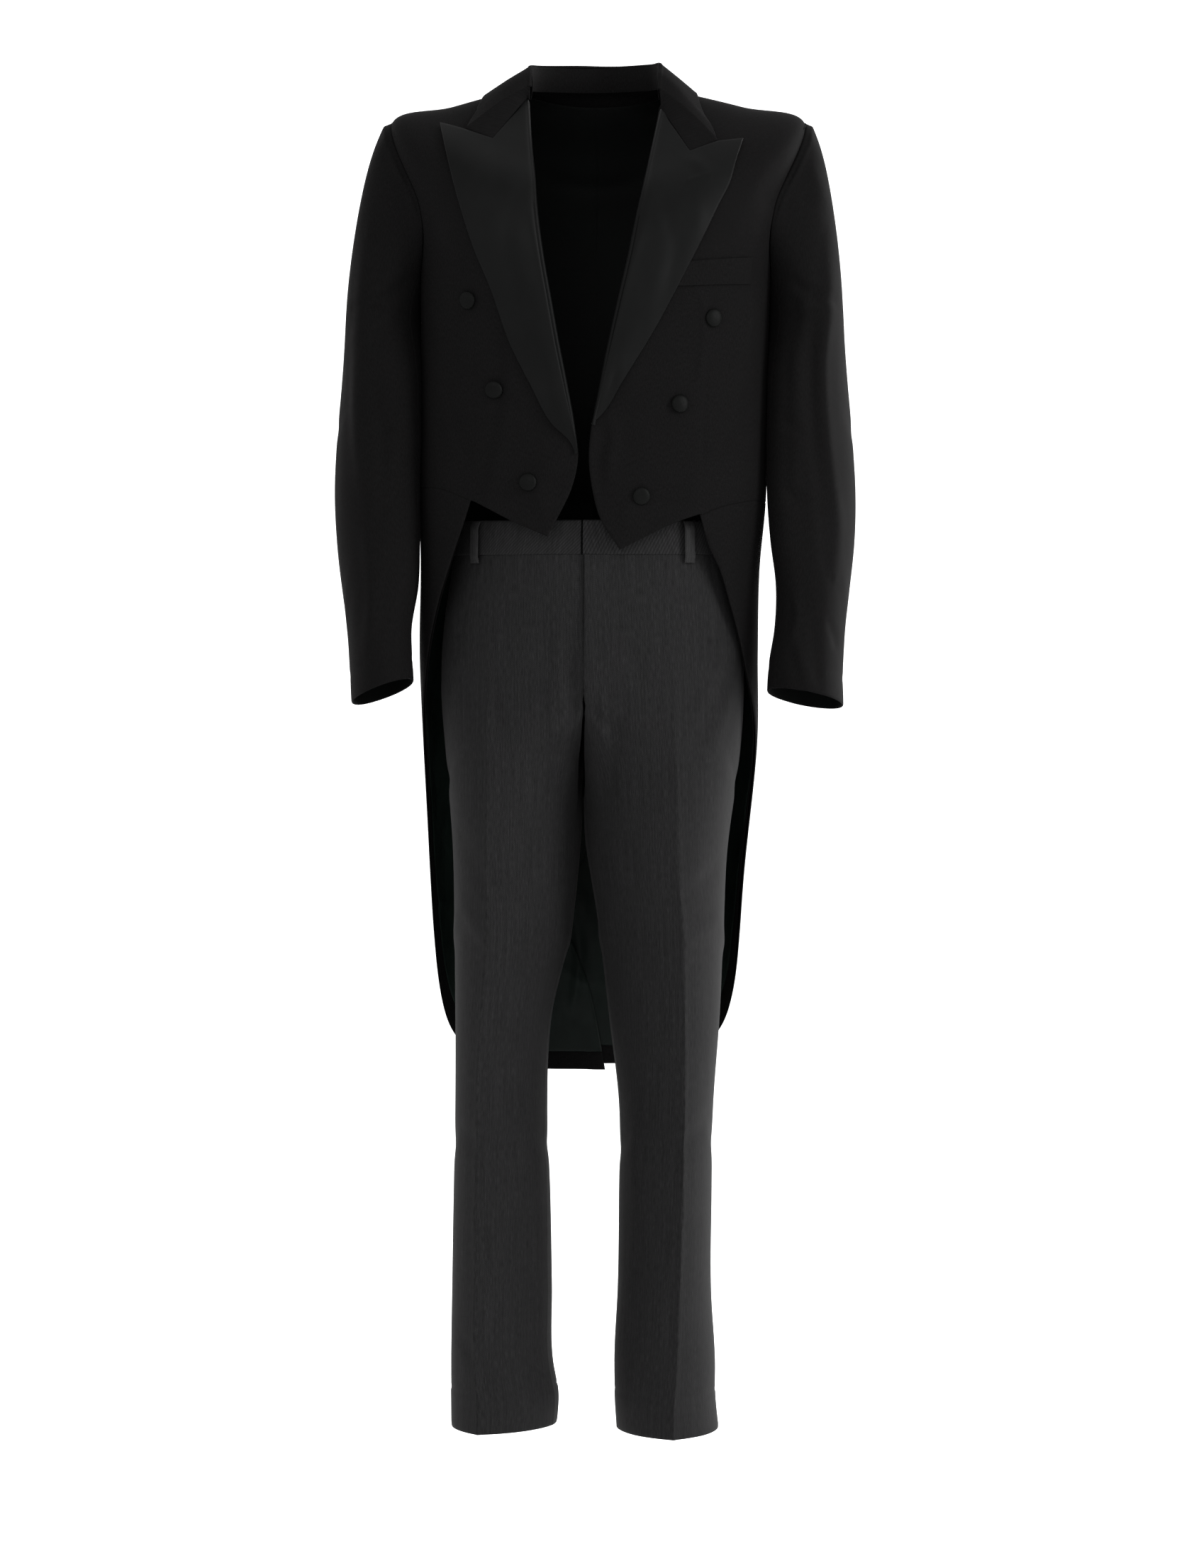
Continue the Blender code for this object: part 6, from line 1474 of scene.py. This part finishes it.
# ---------------------------------------------------------------- sleeves
def build_sleeve(side):
    tag = NAMES[side]
    shares = unit_rows(0.003 + 0.337 * fine(60, 240), 0.34 + 0.66 * fine(106, 400))
    back_seam = curve([r[0] for r in SLEEVE_BACK_SEAM], [r[1] for r in SLEEVE_BACK_SEAM])
    for piece, n in (("top", 62), ("under", 42)):
        us = fine(n, 250 if piece == "top" else 160)
        start = back_seam(shares) if piece == "top" else np.full(len(shares), float(SLEEVE_FRONT_SEAM))
        stop = np.full(len(shares), float(SLEEVE_FRONT_SEAM)) if piece == "top" else back_seam(shares) + 360
        turns = np.radians(start[:, None] + (stop - start)[:, None] * us[None])
        p = sleeve_at(side, shares[:, None], turns)
        for col, nxt in ((0, 1), (-1, -2)):
            d = p[:, nxt] - p[:, col]
            p[:, col] += d / np.linalg.norm(d, axis=1, keepdims=True) * BENT_SEAM / 2
        # the head reaches into its seam with the armhole
        d = p[0] - p[3]
        p[0] += d / np.linalg.norm(d, axis=1, keepdims=True) * (1.3 if side == LEFT else 1.9)
        inner_side = soft((-np.cos(turns) - 0.25) / 0.5)
        keep = soft((shares - 0.02) / 0.13)[:, None] * (1 - 0.8 * inner_side)

        def head(q, nn, turns=turns):
            """The roped head stands up a little just past the armhole, and the cuff's hem turns in."""
            s = np.broadcast_to(shares[:, None], turns.shape)
            rope = 1.5 * np.exp(-(((s - 0.03) / 0.022) ** 2)) * soft((np.cos(turns) + 0.2) / 0.8)
            ease = 0.5 * np.sin(turns * 14) * np.exp(-(((s - 0.05) / 0.035) ** 2)) * soft((np.cos(turns) + 0.1) / 0.7)
            hem = -0.5 * np.exp(-(((s - 0.955) / 0.004) ** 2)) + 0.35 * soft((s - 0.962) / 0.02)
            near = soft((-np.cos(turns) - 0.4) / 0.4) * (3.6 * np.exp(-(((q[..., 2] + 256) / 56) ** 4)) + 1.1 * np.exp(-(((q[..., 2] + 345) / 36) ** 4)))
            return (rope + ease + hem + near) / np.maximum(keep, 0.05)

        cloth(f"{piece}_sleeve_cloth_{tag}", p, sleeve_axis(side, p), CLOTH, (WOOL, INSIDE), [f"{piece}_sleeve_{tag}"], folds=SLEEVE_FOLDS[side], swell=(51 + side, 95, 1.0), keep=keep, extra=head, low_edges=(1, 1, 1, 1))


# ---------------------------------------------------------------- covered buttons
def covered_button(name, at, out, radius, high, node, seed):
    """A domed button under gathered satin, with its edge, its slack and a shank of thread."""
    rng = np.random.default_rng(seed)
    out = out / np.linalg.norm(out)
    a = np.cross(out, [0, 0, 1.0])
    a /= np.linalg.norm(a)
    b = np.cross(out, a)
    profile = [(0.0, 1.0), (0.16, 0.995), (0.32, 0.975), (0.5, 0.93), (0.66, 0.86), (0.8, 0.755), (0.9, 0.62), (0.965, 0.47), (0.995, 0.33), (0.985, 0.2), (0.93, 0.1), (0.82, 0.05), (0.6, 0.02), (0.32, 0.0), (0.26, -0.14), (0.24, -0.3), (0.0, -0.3)]
    n = 44
    turn = np.linspace(0, 2 * math.pi, n, endpoint=False)
    points, uv = [], []
    phase = rng.uniform(0, 6.28, 3)
    for r, h in profile[1:-1]:
        gather = 0.012 * np.sin(turn * 15 + phase[0]) * soft((r - 0.6) / 0.3) + 0.012 * np.sin(turn * 3 + phase[1])
        rr = radius * r * (1 + gather)
        hh = high * (h + 0.018 * np.sin(turn * 2 + phase[2]) * (1 - r))
        points.append(at + np.cos(turn)[:, None] * rr[:, None] * a + np.sin(turn)[:, None] * rr[:, None] * b + hh[:, None] * out)
        uv.append(np.stack([np.cos(turn) * rr, np.sin(turn) * rr], -1))
    rings = len(points)
    points = np.concatenate(points + [(at + out * high)[None], (at + out * high * -0.3)[None]])
    uv = np.concatenate(uv + [np.zeros((2, 2))]) * MM
    index = np.arange(rings * n).reshape(rings, n)
    nxt = np.roll(index, -1, axis=1)
    quads = np.stack([index[:-1], index[1:], nxt[1:], nxt[:-1]], -1).reshape(-1, 4)
    tip, end = rings * n, rings * n + 1
    caps = [[tip, index[0, j], nxt[0, j]] for j in range(n)] + [[end, nxt[-1, j], index[-1, j]] for j in range(n)]
    mesh = bpy.data.meshes.new(name)
    faces = [tuple(int(i) for i in q) for q in quads] + [tuple(int(i) for i in c) for c in caps]
    mesh.from_pydata([tuple(q) for q in points * MM], [], faces)
    mesh.validate()
    layer = mesh.uv_layers.new(name="cloth")
    for loop in mesh.loops:
        layer.data[loop.index].uv = uv[loop.vertex_index]
    mesh.shade_smooth()
    mesh.materials.append(COVERED)
    ob = bpy.data.objects.new(name, mesh)
    bpy.context.scene.collection.objects.link(ob)
    import bmesh
    bm = bmesh.new()
    bm.from_mesh(mesh)
    bmesh.ops.recalc_face_normals(bm, faces=bm.faces)
    bm.to_mesh(mesh)
    bm.free()
    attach(ob, "root")
    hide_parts(node)
    return ob


def build_buttons(side):
    tag = NAMES[side]
    back_seam = curve([r[0] for r in SLEEVE_BACK_SEAM], [r[1] for r in SLEEVE_BACK_SEAM])
    tilts = {LEFT: [(0, 0), (0.22, -0.16), (0, 0.08)], RIGHT: [(0, 0.06), (0.1, 0.1), (0.04, -0.1)]}
    for i, (x, z) in enumerate(FRONT_BUTTONS[side]):
        al = on_front(side, x, z)
        at, over = coat(side, al[0], al[1]), coat(side, al[0], al[1], 1.0)
        out = over - at
        tx, tz = tilts[side][i]
        covered_button(f"front_button_satin_{tag}_{i + 1}", at + out * 0.8, out + np.array([tx, 0, tz]), BUTTON_RADIUS, BUTTON_HIGH, f"front_button_{tag}_{i + 1}", 3 * i + side + 5)
    for i, share in enumerate(CUFF_BUTTONS):
        turn = math.radians(float(back_seam(share)) + 6)
        at = sleeve_at(side, share, turn)
        da = sleeve_at(side, share, turn + 0.01) - sleeve_at(side, share, turn - 0.01)
        dl = sleeve_at(side, share + 0.004, turn) - sleeve_at(side, share - 0.004, turn)
        out = np.cross(da, dl)
        out *= np.sign((out * (at - sleeve_axis(side, at[None])[0])).sum())
        out /= np.linalg.norm(out)
        covered_button(f"cuff_button_satin_{tag}_{i + 1}", at + out * 1.3, out, CUFF_RADIUS, CUFF_HIGH, f"cuff_button_{tag}_{i + 1}", 7 * i + side + 40)
    at, over = coat(side, BACK_BUTTON[1], BACK_BUTTON[0]), coat(side, BACK_BUTTON[1], BACK_BUTTON[0], 1.0)
    covered_button(f"back_button_satin_{tag}", at + (over - at) * 1.2, over - at, BUTTON_RADIUS, BUTTON_HIGH, f"back_button_{tag}", 60 + side)


# ---------------------------------------------------------------- trousers
def line_dip(p, points, wide, deep):
    """A narrow groove or ridge along a line that is seen from the front."""
    line = path(points)(np.linspace(0, 1, 6 * len(points)))
    best = np.full(p.shape[:-1], 1e9)
    for a, b in zip(line[:-1], line[1:]):
        d = b - a
        t = np.clip(((p[..., 0] - a[0]) * d[0] + (p[..., 2] - a[1]) * d[1]) / max(d @ d, 1e-9), 0, 1)
        best = np.minimum(best, np.hypot(p[..., 0] - a[0] - t * d[0], p[..., 2] - a[1] - t * d[1]))
    return deep * np.exp(-((best / wide) ** 2))


def eased(p, fork):
    """The panel with no kink where the leg meets the seat: its rows near there follow a smoother line."""
    weight = np.exp(-(((np.arange(len(p)) - fork) / 26.0) ** 2))[:, None, None]
    smooth = p.copy()
    for _ in range(220):
        smooth[1:-1] = (smooth[:-2] + 2 * smooth[1:-1] + smooth[2:]) / 4
    out = p * (1 - weight) + smooth * weight
    out[..., 0] = np.where(np.abs(p[..., 0] + 14.5) < 6, p[..., 0], out[..., 0])
    return out


def straight_crease(side, p, middle):
    """The panel with its columns slid along its rows, so that the crease runs straight up over the hip."""
    z = p[:, middle, 2]
    k = int(np.abs(z + 770).argmin())
    x0, lean = p[k, middle, 0], (0.0 if side == LEFT else -0.034)
    out = p.copy()
    for r in range(len(p)):
        share = soft((z[r] + 800) / 50)
        if share == 0:
            continue
        row = p[r]
        want = row[middle, 0] * (1 - share) + (x0 + lean * (z[r] + 770)) * share
        s = np.concatenate([[0], np.cumsum(np.linalg.norm(np.diff(row, axis=0), axis=-1))])
        order = np.argsort(row[:, 0])
        target = float(np.interp(want, row[order, 0], s[order]))
        new = np.interp(s, [0, s[middle], s[-1]], [0, target, s[-1]])
        out[r] = np.stack([np.interp(new, s, row[:, c]) for c in range(3)], -1)
    return out


def build_legs(side):
    tag = NAMES[side]
    rows_fork, rows_hip = np.linspace(0, 1, 30)[1:], 30
    across = np.concatenate([[90, 89.4, 88.6], np.linspace(87, 7, 34), [5, 3.4, 2.1, 1.0, 0, -1.0, -2.1, -3.4, -5], np.linspace(-7, -68, 27), [-72, -76.5, -81.5, -90]])
    for front in (True, False):
        degrees = across if front else 180 - across
        p, _ = leg_panel(side, front, 190, rows_fork, rows_hip, degrees)
        p = eased(p, 190)
        if front:
            p = straight_crease(side, p, int(np.abs(across).argmin()))

        def more(q, n, front=front):
            x, z = q[..., 0], q[..., 2]
            face = soft(-n[..., 1] * 2) if front else np.zeros(x.shape)
            out = np.zeros(x.shape)
            if front and side == RIGHT:
                centre = -14.5
                reach = soft(1 - (x - centre) / 34) * soft((z + 656) / 10)
                out += 2.2 * reach * face
                out += line_dip(q, [(26, -493), (25, -555), (24, -582), (18, -609), (4.5, -634)], 1.5, -1.0) * face
                out += line_dip(q, [(-14, -650), (-5, -650)], 1.8, 1.3) * face
            if front and side == LEFT:
                out -= 1.3 * soft(1 - (-14.5 - x) / 30) * soft((z + 656) / 12) * face
            # the slanted side pocket's edge
            if front:
                a, b = (-128, -493), (-163, -640)
                if side == RIGHT:
                    a, b = (122, -493), (158, -640)
                out += line_dip(q, [a, ((a[0] + b[0]) / 2, (a[1] + b[1]) / 2 + 2), b], 2.0, -0.9) * face
            # pressed creases: the leg is flatter beside them and comes to an edge along them
            from_crease = np.abs(across)[None]
            pressed = soft((-560 - z) / 130) if front else soft((-760 - z) / 120)
            out -= 3.0 * np.sin(math.pi * np.clip(from_crease / 90, 0, 1)) ** 1.2 * pressed
            out += 2.5 * np.exp(-from_crease / 4.6) * pressed
            # the fork is full at the front
            if front:
                inner = soft((-across[None] - 30) / 50)
                out += 3.2 * inner * np.exp(-(((z + 712) / 42) ** 2))
            hem = LEGS[side][0][0] + 42
            out -= 0.45 * np.exp(-(((z - hem) / 1.6) ** 2))
            out += 0.35 * soft((hem - z) / 4)
            return out

        low, knee = LEGS[side][0][0], -1000
        piece = "front" if front else "back"
        node = f"trouser_{piece}_{tag}"
        cloth(f"trouser_{piece}_cloth_{tag}", p, leg_axis(side, p), TROUSER, (GREY, TROUSER_IN), [node], folds=LEG_FOLDS, swell=(71, 150, 1.1), extra=more)


def build_waist():
    turns = np.radians(np.concatenate([[-0.8, -0.5], np.linspace(0, 358, 260), [358.3, 358.6]]) % 360)
    rows = []
    zs = np.concatenate([[BAND_LOW + 0.2, BAND_LOW + 1.2, BAND_LOW + 3], np.linspace(BAND_LOW + 6, WAIST_Z - 5, 9), [WAIST_Z - 2.6, WAIST_Z - 1.1, WAIST_Z]])
    for z in zs:
        a = np.where(turns <= math.pi, turns, 2 * math.pi - turns)
        right = hip_ring(RIGHT, np.full(a.shape, z), a)
        left = hip_ring(LEFT, np.full(a.shape, z), a)
        rows.append(np.where((turns <= math.pi)[:, None], right, left))
    p = np.stack(rows, 0)

    def more(q, n):
        x, z = q[..., 0], q[..., 2]
        face = soft(-n[..., 1] * 2)
        out = 0.8 * np.sin(math.pi * np.clip((z - BAND_LOW) / (WAIST_Z - BAND_LOW), 0, 1)) ** 0.6
        out += 1.6 * soft((x + 14.5) / 1.4) * soft(1 - (x + 14.5) / 60) * face
        out += 0.5 * np.sin(x / 23) * face
        return out

    cloth("waistband_cloth", p, spine(p, TROUSER_X), 2.2, (BAND, TROUSER_IN), ["waistband"], swell=(71, 150, 0.5), extra=more, low_edges=(1, 1.3, 0.5, 0.5))


def build_loop(i, side, degrees):
    """A belt loop: a folded strap, tacked at both ends, that bows out in the middle."""
    across = np.linspace(-LOOP_WIDE / 2, LOOP_WIDE / 2, 13)
    stops = [(BAND_LOW - LOOP_OVER, 1.2), (BAND_LOW - LOOP_OVER + 1.5, 2.2), (BAND_LOW - LOOP_OVER + 3, 2.2), (BAND_LOW - LOOP_OVER + 6, 3.6), (BAND_LOW + 6, 4.6), ((BAND_LOW + WAIST_Z) / 2, 5.2), (WAIST_Z - 6, 4.6), (WAIST_Z - 3, 3.0), (WAIST_Z - 0.8, 1.8)]
    zs = np.linspace(stops[0][0], stops[-1][0], 44)
    offs = curve([s[0] for s in stops], [s[1] for s in stops])(zs)
    rows = []
    for z, off in zip(zs, offs):
        a = np.radians(degrees) + across / 128.0
        p = hip_ring(side, np.full(a.shape, z), a)
        e = 1e-3
        d = hip_ring(side, np.full(a.shape, z), a + e) - hip_ring(side, np.full(a.shape, z), a - e)
        n = np.stack([d[..., 1], -d[..., 0], np.zeros(a.shape)], -1)
        n /= np.linalg.norm(n, axis=-1, keepdims=True)
        n *= np.sign((n * (p - np.array([TROUSER_X, 0, z]))).sum(-1, keepdims=True))
        crown = 0.5 * (1 - (across / (LOOP_WIDE / 2)) ** 2)
        rows.append(p + n * (off + LOOP_THICK + crown)[:, None])
    p = np.stack(rows, 0)
    # the loops take the lighter copy of the trousers' cloth, painted light
    cloth(f"belt_loop_cloth_{i}", p, spine(p, TROUSER_X), LOOP_THICK, (LOOP_CLOTH_PAINTED_LIGHT, LOOP_CLOTH_PAINTED_LIGHT), [f"belt_loop_{i}"], swell=(81, 40, 0.1))


# ---------------------------------------------------------------- the stage
def stage_and_light():
    world = bpy.data.worlds.new("studio")
    bpy.context.scene.world = world
    world.use_nodes = True
    back = world.node_tree.nodes["Background"]
    back.inputs["Color"].default_value = (1, 1, 1, 1)
    back.inputs["Strength"].default_value = WORLD
    bpy.context.scene.view_settings.view_transform = "Standard"
    floor_mat = Nodes("pale_floor")
    paper = floor_mat.noise(floor_mat.space((3, 3, 3)), 3.0, 0.5)
    floor_mat.link(floor_mat.ramp(paper, [(0.0, (0.93, 0.93, 0.93)), (1.0, (0.96, 0.96, 0.96))]), floor_mat.shader.inputs["Base Color"])
    floor_mat.shader.inputs["Roughness"].default_value = 0.9
    floor_mat.shader.inputs["Specular IOR Level"].default_value = 0.0
    size, n = 14.0, 24
    line = np.linspace(-size, size, n)
    points = [(x, y, FLOOR) for y in line for x in line]
    faces = [(i * n + j, i * n + j + 1, (i + 1) * n + j + 1, (i + 1) * n + j) for i in range(n - 1) for j in range(n - 1)]
    mesh = bpy.data.meshes.new("studio_floor")
    mesh.from_pydata(points, [], faces)
    mesh.materials.append(floor_mat.m)
    floor = bpy.data.objects.new("studio_floor", mesh)
    bpy.context.scene.collection.objects.link(floor)
    floor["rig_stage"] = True
    for name, at, aim, size, size_y, power, colour in LIGHTS:
        data = bpy.data.lights.new(name, "AREA")
        data.shape = "RECTANGLE"
        data.size, data.size_y = size, size_y
        data.energy = power
        data.color = colour
        lamp = bpy.data.objects.new(name, data)
        bpy.context.scene.collection.objects.link(lamp)
        lamp.location = at
        d = np.array(aim, float) - np.array(at, float)
        d /= np.linalg.norm(d)
        lamp.rotation_euler = look_rotation(d)
    cam = bpy.data.cameras.new("camera")
    cam.sensor_fit = "VERTICAL"
    cam.sensor_height = 36
    cam.lens = 36 / (2 * math.tan(math.radians(9.79)))
    camera = bpy.data.objects.new("camera", cam)
    bpy.context.scene.collection.objects.link(camera)
    camera.location = (-0.0012, -5.0, -0.56)
    camera.rotation_euler = (math.radians(90 - 2.10), 0, 0)
    bpy.context.scene.camera = camera


def look_rotation(d):
    from mathutils import Vector

    return Vector(d).to_track_quat("-Z", "Y").to_euler()


WORLD = 1.7
FLOOR = -1.62
LIGHTS = [
    # name, place, aim, width, height, power, colour
    ("key_right", (3.1, -1.7, 0.5), (0, 0, -0.75), 1.2, 3.0, 175, (1, 1, 1)),
    ("rim_right", (2.6, 1.5, 0.2), (0, 0, -0.8), 0.8, 3.0, 130, (1, 1, 1)),
    ("fill_left", (-3.0, -2.2, 0.5), (0, 0, -0.6), 1.6, 2.4, 18, (1, 1, 1)),
    ("front_soft", (-0.8, -4.6, 1.2), (0, 0, -0.55), 1.6, 1.6, 62, (1, 1, 1)),
    ("top_soft", (0.4, -1.2, 2.8), (0, 0, -0.4), 1.6, 1.6, 7, (1, 1, 1)),
]


# ---------------------------------------------------------------- build
for side in (LEFT, RIGHT):
    build_body(side)
    build_lapel(side)
    build_sleeve(side)
    build_buttons(side)
    build_legs(side)
build_collar()
build_welt()
build_waist()
for i, (side, degrees) in enumerate(BELT_LOOPS):
    build_loop(i + 1, side, degrees)
stage_and_light()

total = 0
for ob in bpy.data.objects:
    if ob.type == "MESH" and not ob.hide_render and not ob.get("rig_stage"):
        total += sum(len(f.vertices) - 2 for f in ob.data.polygons)
print("triangles", total)
print("sizes", json.dumps(SIZES))
